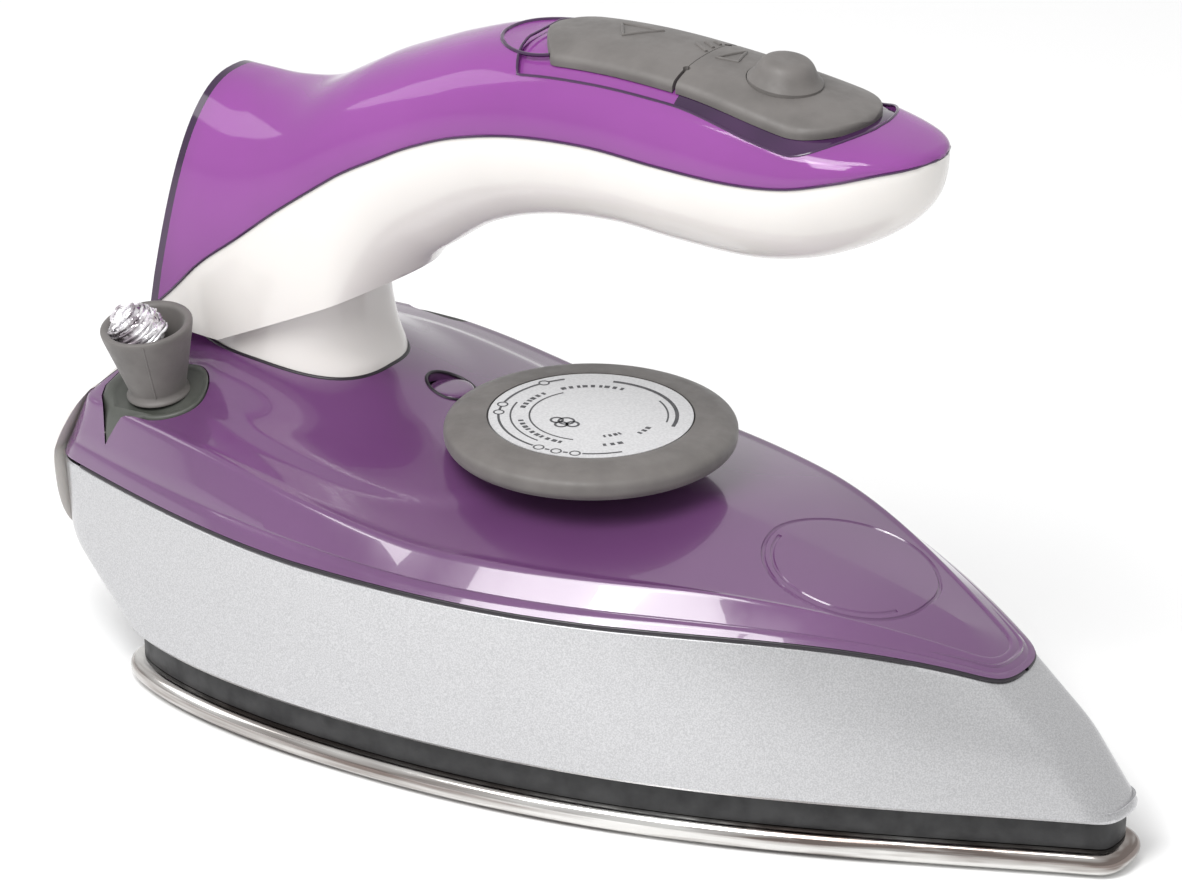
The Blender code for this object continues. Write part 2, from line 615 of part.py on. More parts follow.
# =======================================================================================
# Dial and lamp
# =======================================================================================
def make_dial():
    rim = DIAL_RADIUS
    profile = [(LABEL_RADIUS + 0.3, DIAL_TOP), (rim - 3.0, DIAL_TOP - 0.4), (rim, DIAL_TOP - 2.2),
               (rim, DIAL_BOTTOM + 0.9),
               (rim - 1.2, DIAL_BOTTOM), (SPINDLE_RADIUS + 0.1, DIAL_BOTTOM),
               (SPINDLE_RADIUS + 0.1, DIAL_TOP - 1.0), (LABEL_RADIUS + 0.3, DIAL_TOP - 1.0),
               (LABEL_RADIUS + 0.3, DIAL_TOP)]
    turned("temperature_dial", profile, (DIAL_X, 0, 0), GREY, 40)
    cylinder("dial_label", (DIAL_X, 0, DIAL_TOP - 0.6), (DIAL_X, 0, DIAL_TOP + 0.1), LABEL_RADIUS, LABEL,
             40)
    cylinder("thermostat_spindle", (DIAL_X, 0, 13.2), (DIAL_X, 0, DIAL_TOP - 1.4), SPINDLE_RADIUS - 0.3,
             BRASS, 14)


def make_lamp():
    x, y = LAMP_PLACE
    z = top_surface_z(x, y)
    rows = [[(px, py, h) for px, py in ellipse(LAMP_PLACE, LAMP_RADIUS - GAP - s, LAMP_RADIUS - GAP - s)]
            for h, s in ((z - 2.0, 0.0), (z + 0.2, 0.0), (z + 0.7, 0.8))]
    bm = orient_outward(loft_bmesh(rows, ring=True, caps=True))
    smooth(add_object("pilot_lamp_lens", to_mesh("pilot_lamp_lens", bm), LENS))
    turned("pilot_lamp", [(0.0, 9.0), (1.6, 8.4), (2.4, 7.0), (2.4, 0.0), (0.0, 0.0)], (x, y, z - 13.0),
           LENS, 16)


# =======================================================================================
# Pedestal, hinge and release
# =======================================================================================
def joint_plane(x):
    return JOINT_Z + (x - JOINT_X) * JOINT_SLOPE


def above_joint(name, lift, half_width=40.0):
    """Cutter for everything above the slanted rim plane, raised by lift."""
    line = [(x, joint_plane(x) + lift) for x in (-120.0, 0.0)]
    return side_prism(name, line + [(0.0, 140.0), (-120.0, 140.0)], half_width)


def make_pedestal():
    half_x, half_y = PEDESTAL_HALF
    sizes = ((46.0, 1.2), (56.0, 1.2), (58.0, 0.6), (64.0, 0.0), (78.0, 0.0))
    rows = [[(x, y, z) for x, y in ellipse((PEDESTAL_X, 0.0), half_x + flare, half_y + flare, 28, 2.5)]
            for z, flare in sizes]
    bm = orient_outward(loft_bmesh(rows, ring=True, caps=True))
    pedestal = add_object("handle_pedestal", to_mesh("handle_pedestal", bm), CREAM)
    boolean(pedestal, above_joint("pedestal_top_cutter", -GAP))
    spigot = prism("pedestal_spigot", ellipse((PEDESTAL_X, 0.0), *SPIGOT_HALF, 28, 2.5), 50.0, 78.0, None,
                   CUTTERS)
    boolean(spigot, above_joint("spigot_top_cutter", SPIGOT_LIFT))
    boolean(pedestal, spigot, "UNION")
    knuckle = cylinder("pedestal_knuckle", (HINGE_X, -8.6, HINGE_Z), (HINGE_X, 8.6, HINGE_Z), 6.4, None, 20,
                       CUTTERS)
    boolean(pedestal, knuckle, "UNION")
    boolean(pedestal, cylinder("pedestal_bore", (HINGE_X, -20.0, HINGE_Z), (HINGE_X, 20.0, HINGE_Z),
                               HINGE_PIN_RADIUS + GAP, None, 16, CUTTERS))
    boolean(pedestal, box("pedestal_core", (PEDESTAL_X - 10.0, -9.0, 30.0), (PEDESTAL_X + 12.0, 9.0, 59.0),
                          None,
                          CUTTERS))
    boolean(pedestal, box("pedestal_duct", (PEDESTAL_X + 5.6, -5.0, 50.0), (PEDESTAL_X + 11.4, 5.0, 90.0),
                          None,
                          CUTTERS))
    for side, name in ((1, "left"), (-1, "right")):
        y = side * 11.4
        boolean(pedestal, cylinder(f"pedestal_screw_bore_{name}", (PEDESTAL_X, y, 42.0),
                                   (PEDESTAL_X, y, 54.0), 1.5,
                                   None, 10, CUTTERS))
        screw = cylinder(f"pedestal_screw_{name}", (PEDESTAL_X, y, 42.0), (PEDESTAL_X, y, 53.0), 1.15,
                         STEEL, 10)
        head = cylinder(f"pedestal_screw_head_{name}", (PEDESTAL_X, y, 43.0), (PEDESTAL_X, y, 45.4), 2.6,
                        None, 10,
                        CUTTERS)
        boolean(screw, head, "UNION")
    cylinder("hinge_pin", (HINGE_X, -13.0, HINGE_Z), (HINGE_X, 13.0, HINGE_Z), HINGE_PIN_RADIUS, STEEL, 16)
    return smooth(pedestal)


def make_pedestal_gasket():
    """Dark sealing bead round the foot of the pedestal."""
    ring = ellipse((PEDESTAL_X, 0.0), PEDESTAL_HALF[0] + 1.8, PEDESTAL_HALF[1] + 1.8, 32, 2.5)
    return tube("pedestal_gasket", [(x, y, top_surface_z(x, y) - 0.2) for x, y in ring], 0.28, DARK_RUBBER,
                True, 1)


def make_release():
    """Sliding latch of the fold: a thumb pad in the left shoulder and its bar."""
    half = RELEASE_HALF_LENGTH - 0.5
    low, high = RELEASE_Z
    pad = box("fold_release_button", (RELEASE_X - half, 34.4, low), (RELEASE_X + half, 38.4, high),
              DARK_RUBBER,
              bevel=0.8)
    middle = (low + high) / 2
    bar = box("fold_latch_bar", (RELEASE_X - 3.0, 17.0, middle - 1.0),
              (RELEASE_X + 3.0, 34.0, middle + 1.0),
              WHITE_NYLON)
    coil = []
    for i in range(6 * 12 + 1):
        angle = 2 * math.pi * i / 12
        coil.append((RELEASE_X + 5.2 + 1.5 * math.cos(angle), 22.0 + 9.6 * i / 72,
                     middle + 1.5 * math.sin(angle)))
    tube("fold_latch_spring", coil, 0.25, STEEL, sides=1)
    return pad, bar


# =======================================================================================
# Handle
# =======================================================================================
def handle_arc(station, upper, inset):
    """Half section at a station, from the right parting edge round to the left one."""
    x, half, bottom, parting, top = station
    half = half - inset
    reach = (top - parting if upper else parting - bottom) - inset
    power = 2.5 if upper else 2.2 + 1.2 * ease((-38.0 - x) / 14.0)
    points = []
    for i in range(HANDLE_SIDES + 1):
        angle = math.pi * i / HANDLE_SIDES
        c, s = math.cos(angle), math.sin(angle)
        y = -half * math.copysign(abs(c) ** (2 / power), c)
        z = max(reach, 0.6) * abs(s) ** (2 / power) * (1 if upper else -1)
        points.append((x, y, parting + z))
    return points


def handle_shell(name, upper, material):
    """Half of the handle as a wall: outer arcs and inner arcs joined at the parting."""
    lift = 0.2 if upper else -0.2
    rows = []
    for station in HANDLE_STATIONS:
        outer = handle_arc(station, upper, 0.0)
        inner = handle_arc(station, upper, HANDLE_WALL)
        if station is HANDLE_STATIONS[-1]:
            inner = [(x, y * 0.5, station[3]) for x, y, _ in outer]
        ring = outer + list(reversed(inner))
        rows.append([(x, y, z + lift) for x, y, z in ring])
    bm = orient_outward(loft_bmesh(rows, ring=True, caps=True))
    return add_object(name, to_mesh(name, bm), material)


def make_handle_lower():
    shell = handle_shell("handle_lower_shell", False, CREAM)
    boolean(shell, side_prism("below_rim_cutter", [(-130.0, RIM_BOTTOM), (FLAT_RIM_X, RIM_BOTTOM),
                                                   (-36.0, joint_plane(-36.0)),
                                                   (-36.0, 10.0), (-130.0, 10.0)], 40.0))
    boolean(shell, flare_cutter("lower_flare_cutter", 0.0))
    for side, name in ((1, "left"), (-1, "right")):
        boss = cylinder(f"hinge_boss_{name}", (HINGE_X, side * 9.0, HINGE_Z),
                        (HINGE_X, side * 14.6, HINGE_Z),
                        HINGE_BOSS_RADIUS, None, 16, CUTTERS)
        boolean(shell, boss, "UNION")
    boolean(shell, cylinder("boss_bore", (HINGE_X, -13.4, HINGE_Z), (HINGE_X, 13.4, HINGE_Z),
                            HINGE_PIN_RADIUS + GAP, None, 16, CUTTERS))
    return smooth(shell)


def flare_cutter(name, shift):
    """Everything behind the rear face of the handle's flare, moved forward by shift."""
    lean = [(RIM_X + shift + RIM_LEAN * (z - RIM_Z), z) for z in (0.0, 130.0)]
    return side_prism(name, lean + [(-150.0, 130.0), (-150.0, 0.0)], 60.0)


def make_end_cap():
    """Plate that closes the rear of the flare, set a little inside its rim."""
    rows = []
    for station in [s for s in HANDLE_STATIONS if s[0] < -70.0]:
        upper = handle_arc(station, True, HANDLE_WALL + GAP)
        lower = handle_arc(station, False, HANDLE_WALL + GAP)
        rows.append(upper + list(reversed(lower))[1:-1])
    bm = orient_outward(loft_bmesh(rows, ring=True, caps=True))
    cap = add_object("handle_end_cap", to_mesh("handle_end_cap", bm), CREAM)
    boolean(cap, flare_cutter("cap_rear_cutter", 1.0))
    boolean(cap, flare_cutter("cap_front_limit", 3.0), "INTERSECT")
    boolean(cap, box("cap_bottom_cutter", (-130.0, -40.0, 0.0), (-60.0, 40.0, RIM_BOTTOM + GAP), None,
                     CUTTERS))
    return smooth(cap)


def make_tank_shell():
    shell = handle_shell("tank_shell", True, PURPLE)
    boolean(shell, flare_cutter("tank_flare_cutter", 0.0))
    boolean(shell, cylinder("fill_hole", (FILL_X, 0, 112.0), (FILL_X, 0, 130.0), 5.0, None, 18, CUTTERS))
    boolean(shell, cylinder("pump_hole", (BUTTON_X, 0, 112.0), (BUTTON_X, 0, 130.0), BUTTON_RADIUS + GAP,
                            None, 18, CUTTERS))
    return smooth(shell)


def tank_height(x, y):
    """Height of the tank's outer surface, read between stations."""
    for first, second in zip(HANDLE_STATIONS, HANDLE_STATIONS[1:]):
        if first[0] <= x <= second[0]:
            share = (x - first[0]) / (second[0] - first[0])
            arc = blend_rows(handle_arc(first, True, 0.0), handle_arc(second, True, 0.0), share)
            break
    for p, q in zip(arc, arc[1:]):
        if p[1] <= y <= q[1]:
            return p[2] + (q[2] - p[2]) * (y - p[1]) / (q[1] - p[1])
    return arc[0][2]


def panel_half(x):
    """Half width of the panel, a little wider towards the front, with bowed ends."""
    side = PANEL_HALF[0] + (PANEL_HALF[1] - PANEL_HALF[0]) * ease((x - PANEL_SPLIT) / 20.0)
    rear = min((x - PANEL_REAR) / PANEL_BOW[0], 1.0)
    front = min((PANEL_FRONT - x) / PANEL_BOW[1], 1.0)
    return max(side * rear ** 0.85 * math.sqrt(1.0 - (1.0 - front) ** 2), 1.6)


def panel_patch(name, start, end, material):
    """Soft pad that follows the handle's top between two stations."""
    between = [station[0] for station in HANDLE_STATIONS if start < station[0] < end]
    spaced = [start + (end - start) * i / 9 for i in range(10)]
    sections = []
    for x in sorted(between + spaced):
        half = panel_half(x)
        side = [(x, half * k / 6, tank_height(x, half * k / 6)) for k in range(-6, 7)]
        lower = [(px, py, z + PANEL_LIFT) for px, py, z in side]
        upper = [(px, py, z + PANEL_LIFT + PANEL_THICK) for px, py, z in side]
        sections.append(lower + list(reversed(upper)))
    bm = orient_outward(loft_bmesh(sections, ring=True, caps=True))
    return add_object(name, to_mesh(name, bm), material)


def make_panel():
    flap = panel_patch("fill_flap", PANEL_REAR, PANEL_SPLIT - GAP, GREY)
    plug = cylinder("fill_plug", (FILL_X, 0, 121.0), (FILL_X, 0, 124.8), 4.3, None, 18, CUTTERS)
    boolean(flap, plug, "UNION")
    smooth(flap)
    panel = panel_patch("button_panel", PANEL_SPLIT + GAP, PANEL_FRONT, GREY)
    boolean(panel, cylinder("button_hole", (BUTTON_X, 0, 110.0), (BUTTON_X, 0, 130.0), BUTTON_RADIUS + GAP,
                            None, 24,
                            CUTTERS))
    return smooth(panel)


def make_steam_pump():
    top = tank_height(BUTTON_X, 0.0)
    base = top + 0.6
    cap = [(0.0, top + 5.0), (3.2, top + 4.9), (4.4, top + 4.3), (BUTTON_RADIUS - 0.3, top + 1.4),
           (BUTTON_RADIUS, base),
           (0.0, base)]
    turned("steam_button", cap, (BUTTON_X, 0, 0), GREY, 24)
    turned("pump_piston", [(0.0, base - GAP), (1.5, base - GAP), (1.5, 114.4), (2.9, 114.0), (2.9, 112.4),
                           (0.0, 112.4)],
           (BUTTON_X, 0, 0), WHITE_NYLON, 14)
    turned("pump_cylinder", [(0.0, 102.4), (3.2, 102.4), (3.2, 117.0), (4.2, 117.0), (4.2, 101.0),
                             (0.0, 101.0)],
           (BUTTON_X, 0, 0), WHITE_NYLON, 16)
    turns, per_turn = 5, 10
    coil = []
    for i in range(turns * per_turn + 1):
        angle = 2 * math.pi * i / per_turn
        coil.append((BUTTON_X + 2.2 * math.cos(angle), 2.2 * math.sin(angle),
                     103.2 + 8.4 * i / (turns * per_turn)))
    tube("pump_spring", coil, 0.25, STEEL, sides=1)


def make_water_path():
    route = [(24.0, 0, 100.0), (12.0, 0, 98.0), (-4.0, 0, 96.6), (-18.0, 0, 94.4), (-30.0, 0, 89.5),
             (-40.0, 0, 82.0)]
    tube("water_tube", route, 1.6, WHITE_NYLON, sides=2)
    stations = [s for s in HANDLE_STATIONS if -46.0 < s[0] < 52.0]
    rows = []
    for x, half, _, parting, _ in stations:
        edge = half - HANDLE_WALL - GAP - 0.4
        rows.append([(x, -edge, parting - 0.8), (x, edge, parting - 0.8), (x, edge, parting + 0.8),
                     (x, -edge, parting + 0.8)])
    bm = orient_outward(loft_bmesh(rows, ring=True, caps=True))
    floor = add_object("tank_floor", to_mesh("tank_floor", bm), PURPLE)
    boolean(floor, cylinder("floor_pump_hole", (BUTTON_X, 0, 90.0), (BUTTON_X, 0, 120.0), 4.6, None, 16,
                            CUTTERS))
    for i, (x, parting) in enumerate(((-22.0, 106.2), (41.0, 110.8))):
        boolean(floor, cylinder(f"floor_screw_hole_{i}", (x, 0, 90.0), (x, 0, 120.0), 2.0, None, 12,
                                CUTTERS))
        cylinder(f"tank_screw_{i + 1}", (x, 0, parting - 8.0), (x, 0, parting + 3.0), 1.6, STEEL, 12)


def build():
    make_soleplate()
    make_heating_element()
    make_steam_chamber()
    make_heat_shield()
    make_thermostat()
    make_lower_housing()
    make_top_cover()
    make_cover_gasket()
    make_rear_cover()
    make_cord_entry()
    make_dial()
    make_lamp()
    make_pedestal()
    make_pedestal_gasket()
    make_release()
    make_handle_lower()
    make_end_cap()
    make_tank_shell()
    make_panel()
    make_steam_pump()
    make_water_path()


build()
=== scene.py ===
"""Looks of the folding travel steam iron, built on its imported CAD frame.

Lengths in the tables and functions are millimetres; meshes are made in metres.
"""

import math

import bmesh
import bpy
from mathutils import Matrix, Vector, noise
from mathutils.bvhtree import BVHTree


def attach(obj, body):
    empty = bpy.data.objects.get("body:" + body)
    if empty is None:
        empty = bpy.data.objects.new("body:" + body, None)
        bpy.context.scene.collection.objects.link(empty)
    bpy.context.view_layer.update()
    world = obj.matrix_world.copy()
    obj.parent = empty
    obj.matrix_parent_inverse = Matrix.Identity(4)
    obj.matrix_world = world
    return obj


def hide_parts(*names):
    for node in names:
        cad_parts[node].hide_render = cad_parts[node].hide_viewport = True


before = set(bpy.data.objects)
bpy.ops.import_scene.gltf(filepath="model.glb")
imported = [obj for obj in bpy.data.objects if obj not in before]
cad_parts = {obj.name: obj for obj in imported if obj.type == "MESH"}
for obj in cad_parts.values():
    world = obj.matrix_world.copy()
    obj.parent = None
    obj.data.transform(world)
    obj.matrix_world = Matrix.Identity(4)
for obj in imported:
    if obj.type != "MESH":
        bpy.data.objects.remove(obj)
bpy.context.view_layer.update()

MM = 0.001

# --- camera -----------------------------------------------------------------------------
AZIMUTH = 33.0                        # degrees, round from the side toward the nose
ELEVATION = 24.5
SENSOR = 36.0
LENS = 163.1
CAMERA_PLACE = (0.4416, -0.6874, 0.42347)    # metres

# --- body ---------------------------------------------------------------------------
SOLE_TOP = 4.2
SKIRT_BOTTOM = 9.8
APRON = (4.3, 7.2, 9.6)               # bottom, bend and top of the black apron
OVERHANG_Z = 21.0
PARTING_Z = 36.3
PARTING_GAP = 0.45
WALL = 1.8

SOLE_PLAN = dict(nose=99.9, shoulder=(95.6, 7.1), widest=(-31.2, 43.4), tail=(-73.2, 36.9),
                 heel=-81.4, handles=(56.9, 37.2, 8.0, 15.0), angles=(23.5, 24.0))
SKIRT_PLAN = dict(SOLE_PLAN, nose=99.4, shoulder=(95.2, 7.0), widest=(-31.2, 43.1), tail=(-73.2, 36.6),
                  heel=-81.0)
WAIST_PLAN = dict(nose=90.2, shoulder=(86.0, 8.0), widest=(-30.4, 42.6), tail=(-89.5, 31.0),
                  heel=-97.4, handles=(50.0, 44.0, 14.0, 24.0), angles=(25.0, 18.0))
PARTING_PLAN = dict(nose=79.0, shoulder=(74.6, 8.3), widest=(-34.0, 42.3), tail=(-92.0, 30.2),
                    heel=-98.4, handles=(44.0, 52.0, 14.0, 26.0), angles=(28.0, 18.0))
CREASE_PLAN = dict(nose=75.4, shoulder=(69.9, 6.3), widest=(-40.0, 37.0), tail=(-86.5, 30.2),
                   heel=-91.6, handles=(56.0, 37.6, 16.0, 15.0), angles=(25.0, 14.0))
BULGE_PLAN = dict(PARTING_PLAN, tail=(-95.0, 30.4), heel=-100.1)
SHIELD_EDGE = dict(nose=90.6, shoulder=(85.4, 7.0), widest=(-31.2, 40.0), tail=(-70.2, 33.8),
                   heel=-77.8, handles=(52.0, 37.2, 7.0, 13.0), angles=(24.0, 24.0))
PLAN_STEPS = (14, 90, 34, 12, 10)     # points on each curve of an outline
# x, z of the joint in front of the white rear cover
REAR_SPLIT = ((-96.0, 20.6), (-96.6, 37.0), (-91.4, 47.0), (-88.4, 51.5), (-88.4, 75.0))
HEEL_PLANE = (-99.8, 34.0, 0.30)      # x, z and lean of the flat heel facet
REAR_SCREW = (14.0, 37.0, 2.6)        # y, z and radius of its hole
MARK = (46.5, -0.4, 14.6)             # round grooved mark near the nose: x, y, radius
GROOVE_RADIUS = 0.42

# --- dial, lamp, pedestal, cord entry, release ------------------------------------------
DIAL_X = -4.8
DIAL_RADIUS = 24.8
DIAL_BOTTOM = 50.1
DIAL_TOP = 55.2
LABEL_RADIUS = 17.3
LAMP = (-36.2, 4.4, 4.3)              # x, y, radius
PEDESTAL_X = -64.4
PEDESTAL_HALF = (15.6, 12.6)
FOOT = (-63.6, 17.9, 13.5)            # pedestal's foot on the cover: x, half sizes
SPIGOT_HALF = (14.2, 12.0)
JOINT = (-44.1, 72.0, 0.487)          # x, z and slope of the slanted joint
HINGE = (-66.5, 70.0)                 # x, z of the fold axis
GUARD = (-76.8, -24.8)                # x, y of the cord guard
GUARD_TILT = (9.0, 3.0)               # degrees about X and Y
ENTRY_RADIUS = 7.0
ENTRY_BACK = -87.6
RELEASE = (-60.8, 7.5, 42.0, 46.6)    # x, half length, bottom and top of the slide
RELEASE_SIDE = (37.2, 1.4)            # y, half width

# --- handle ---------------------------------------------------------------------------
# x, half width, bottom, height of the seam, top
HANDLE_STATIONS = (
    (-94.0, 12.8, 26.0, 54.0, 103.0), (-88.0, 13.6, 27.0, 59.5, 103.2), (-82.0, 14.2, 28.0, 65.0, 103.2),
    (-75.0, 15.0, 30.0, 72.0, 102.8), (-67.0, 15.6, 34.0, 78.2, 102.6), (-58.0, 16.0, 40.0, 85.4, 104.2),
    (-49.0, 16.1, 50.0, 92.0, 109.0), (-44.1, 16.0, 65.0, 95.4, 111.8), (-37.0, 15.9, 76.4, 99.4, 115.0),
    (-31.0, 15.7, 81.4, 102.6, 117.5), (-22.0, 15.5, 87.4, 106.2, 120.6), (-10.0, 15.5, 91.6, 109.0, 123.1),
    (4.0, 15.6, 93.4, 110.2, 124.0), (18.0, 15.9, 93.0, 109.8, 123.4), (31.0, 16.0, 93.2, 109.8, 122.0),
    (41.0, 15.4, 95.4, 110.8, 120.4), (49.0, 13.4, 98.9, 112.8, 118.8), (55.0, 10.0, 102.8, 114.4, 117.7),
    (58.4, 6.8, 106.2, 115.0, 117.0), (60.4, 3.4, 109.6, 115.4, 116.6), (61.0, 1.0, 112.4, 115.5, 116.1))
HANDLE_WALL = 2.0
HANDLE_SIDES = 40
SEAM_HALF = 0.12                      # half of the gap between tank and lower shell
RIM = (-87.2, 60.0, 0.22)             # x, z and lean of the flare's rear face
RIM_BOTTOM = 58.7
FLAT_RIM_X = -71.4
PANEL_REAR = -12.4
PANEL_SPLIT = 17.5
PANEL_FRONT = 48.2
PANEL_BOW = (6.5, 10.2)
PANEL_HALF = (10.2, 11.3)
REBATE_HALF = (12.6, 14.0)            # recess the silicone lies in
PANEL_UNDER = -0.85                   # how far the silicone reaches into the recess
PANEL_TOP = 0.7                       # how far the silicone stands over the tank
BUTTON_X = 32.0
BUTTON_RADIUS = 6.2
FILL_X = 1.0
SCOOP = (-9.6, 10.8, 9.4)             # finger scoop behind the flap: x, half sizes


def link_object(name, data, hidden=False):
    """Put data into the scene as an object; a hidden one is a cutter."""
    obj = bpy.data.objects.new(name, data)
    bpy.context.scene.collection.objects.link(obj)
    obj.hide_render = hidden
    return obj


# --- camera, floor and light --------------------------------------------------------------
def make_camera():
    azimuth, elevation = math.radians(AZIMUTH), math.radians(ELEVATION)
    back = Vector((math.sin(azimuth) * math.cos(elevation), -math.cos(azimuth) * math.cos(elevation),
                   math.sin(elevation)))
    right = Vector((math.cos(azimuth), math.sin(azimuth), 0.0))
    up = back.cross(right)
    data = bpy.data.cameras.new("photo_camera")
    data.sensor_width = SENSOR
    data.lens = LENS
    data.clip_start = 0.01
    camera = link_object("photo_camera", data)
    turn = Matrix((right, up, back)).transposed().to_4x4()
    turn.translation = Vector(CAMERA_PLACE)
    camera.matrix_world = turn
    bpy.context.scene.camera = camera


def softbox(name, position, aim, size, power):
    data = bpy.data.lights.new(name, "AREA")
    data.shape = "RECTANGLE"
    data.size, data.size_y = size
    data.energy = power
    lamp = link_object(name, data)
    lamp.location = position
    lamp.rotation_euler = (Vector(aim) - Vector(position)).to_track_quat("-Z", "Y").to_euler()
    return lamp


def box_turn(toward, along):
    """Turn of a softbox that lies in the direction toward and has its long side along."""
    back = Vector(toward).normalized()
    side = (Vector(along) - back * back.dot(Vector(along))).normalized()
    return Matrix((side, back.cross(side), back)).transposed().to_euler()


def make_studio():
    scene = bpy.context.scene
    world = bpy.data.worlds.new("studio")
    scene.world = world
    world.use_nodes = True
    background = world.node_tree.nodes["Background"]
    background.inputs["Color"].default_value = (1.0, 1.0, 1.0, 1.0)
    background.inputs["Strength"].default_value = 0.80
    scene.view_settings.view_transform = "Standard"

    # a long box high in front shows as the bright stretch with crisp ends on the cover's slanted band
    strip = softbox("strip", (-0.055, -0.455, 0.83), (0.01, -0.038, 0.04), (0.62, 0.24), 4.6)
    strip.rotation_euler = box_turn((-0.07, -0.46, 0.88), (0.495, 0.36, 0.24))
    softbox("left", (-0.85, -0.42, 0.62), (-0.02, 0.0, 0.05), (0.4, 0.4), 1.2)
    softbox("floor_glow", (0.05, -0.24, 0.32), (0.02, -0.09, 0.0), (0.12, 0.12), 0.45)

    mesh = bpy.data.meshes.new("floor")
    mesh.from_pydata([(-4, -4, 0), (4, -4, 0), (4, 4, 0), (-4, 4, 0)], [], [(0, 1, 2, 3)])
    floor = link_object("floor", mesh)
    floor.location.z = -0.0002
    mesh.materials.append(plain("floor_paper", (0.90, 0.90, 0.90), 0.9))


# --- materials ----------------------------------------------------------------------------
def plain(name, color, roughness, metallic=0.0, **extra):
    """Principled material; extra sets other sockets by name, with _ for a space."""
    material = bpy.data.materials.new(name)
    material.use_nodes = True
    shader = material.node_tree.nodes["Principled BSDF"]
    shader.inputs["Base Color"].default_value = (*color, 1.0)
    shader.inputs["Roughness"].default_value = roughness
    shader.inputs["Metallic"].default_value = metallic
    for key, value in extra.items():
        shader.inputs[key.replace("_", " ")].default_value = value
    return material


def node(material, kind, **inputs):
    made = material.node_tree.nodes.new(kind)
    for key, value in inputs.items():
        made.inputs[key].default_value = value
    return made


def link(material, out, into):
    material.node_tree.links.new(out, into)


def textured(material, scale, detail=3.0, stretch=(1.0, 1.0, 1.0)):
    """Noise in the object's own space; scale is features per metre. Returns its value socket."""
    coords = material.node_tree.nodes.new("ShaderNodeTexCoord")
    mapping = node(material, "ShaderNodeMapping", Scale=stretch)
    link(material, coords.outputs["Object"], mapping.inputs["Vector"])
    texture = node(material, "ShaderNodeTexNoise", Scale=scale, Detail=detail)
    link(material, mapping.outputs["Vector"], texture.inputs["Vector"])
    return texture.outputs["Fac"]


def vary(material, socket, value, low, high, start=0.35, end=0.65):
    """Drive a socket by value, through a ramp between two colours or two greys."""
    band = material.node_tree.nodes.new("ShaderNodeValToRGB")
    for stop, position, shade in zip(band.color_ramp.elements, (start, end), (low, high)):
        stop.position = position
        stop.color = (*shade, 1.0) if isinstance(shade, tuple) else (shade, shade, shade, 1.0)
    link(material, value, band.inputs["Fac"])
    link(material, band.outputs["Color"], material.node_tree.nodes["Principled BSDF"].inputs[socket])


def add_bump(material, value, strength, distance):
    shader = material.node_tree.nodes["Principled BSDF"]
    bump = node(material, "ShaderNodeBump", Strength=strength, Distance=distance)
    link(material, value, bump.inputs["Height"])
    link(material, bump.outputs["Normal"], shader.inputs["Normal"])


def surface(name, color, roughness, metallic=0.0, tint=None, gloss=None, bump=None, **extra):
    """Material with noise in its colour (tint), roughness (gloss) and relief (bump).

    tint and gloss are (scale, detail, low, high) and may go on with the two ends of the ramp;
    bump is (scale, detail, strength, distance).
    """
    material = plain(name, color, roughness, metallic, **extra)
    for socket, change in (("Base Color", tint), ("Roughness", gloss)):
        if change:
            scale, detail, *span = change
            vary(material, socket, textured(material, scale, detail), *span)
    if bump:
        scale, detail, *relief = bump
        add_bump(material, textured(material, scale, detail), *relief)
    return material


def make_chrome():
    """Polished steel whose base colour carries painted reflection streaks drawn out along the rim."""
    chrome = plain("chrome_steel", (0.55, 0.53, 0.51), 0.14, 1.0)
    # dark and bright streaks in the steel's base colour, stretched along the rim, are painted reflections
    painted_reflection_streaks = textured(chrome, 70.0, 3.0, (0.22, 1.0, 7.0))
    vary(chrome, "Base Color", painted_reflection_streaks, (0.20, 0.165, 0.15), (0.74, 0.73, 0.71), 0.40, 0.60)
    vary(chrome, "Roughness", textured(chrome, 400.0, 3.0, (0.08, 1.0, 1.0)), 0.08, 0.20)
    add_bump(chrome, textured(chrome, 900.0, 2.0, (0.05, 1.0, 1.0)), 0.05, 0.0001)
    return chrome


def make_tank_plastic():
    """Clear tinted plastic that darkens with its depth."""
    tank = surface("purple_tank", (0.40, 0.10, 0.44), 0.07, 0.0,
                   (26.0, 2.0, (0.375, 0.09, 0.415), (0.425, 0.11, 0.465)), (240.0, 3.0, 0.05, 0.09),
                   Transmission_Weight=0.50, IOR=1.45)
    absorb = node(tank, "ShaderNodeVolumeAbsorption", Density=160.0)
    absorb.inputs["Color"].default_value = (0.72, 0.12, 0.76, 1.0)
    link(tank, absorb.outputs["Volume"], tank.node_tree.nodes["Material Output"].inputs["Volume"])
    return tank


def make_foil():
    """Crinkled bright sleeve, metallic in patches."""
    foil = surface("bright_sleeve", (0.78, 0.77, 0.79), 0.12, 0.0,
                   (330.0, 4.0, (0.30, 0.26, 0.29), (0.93, 0.92, 0.94), 0.40, 0.58), None,
                   (700.0, 3.0, 0.35, 0.0003), Coat_Weight=1.0, Coat_Roughness=0.03)
    vary(foil, "Metallic", textured(foil, 260.0, 2.0), 0.1, 0.8, 0.40, 0.6)
    return foil


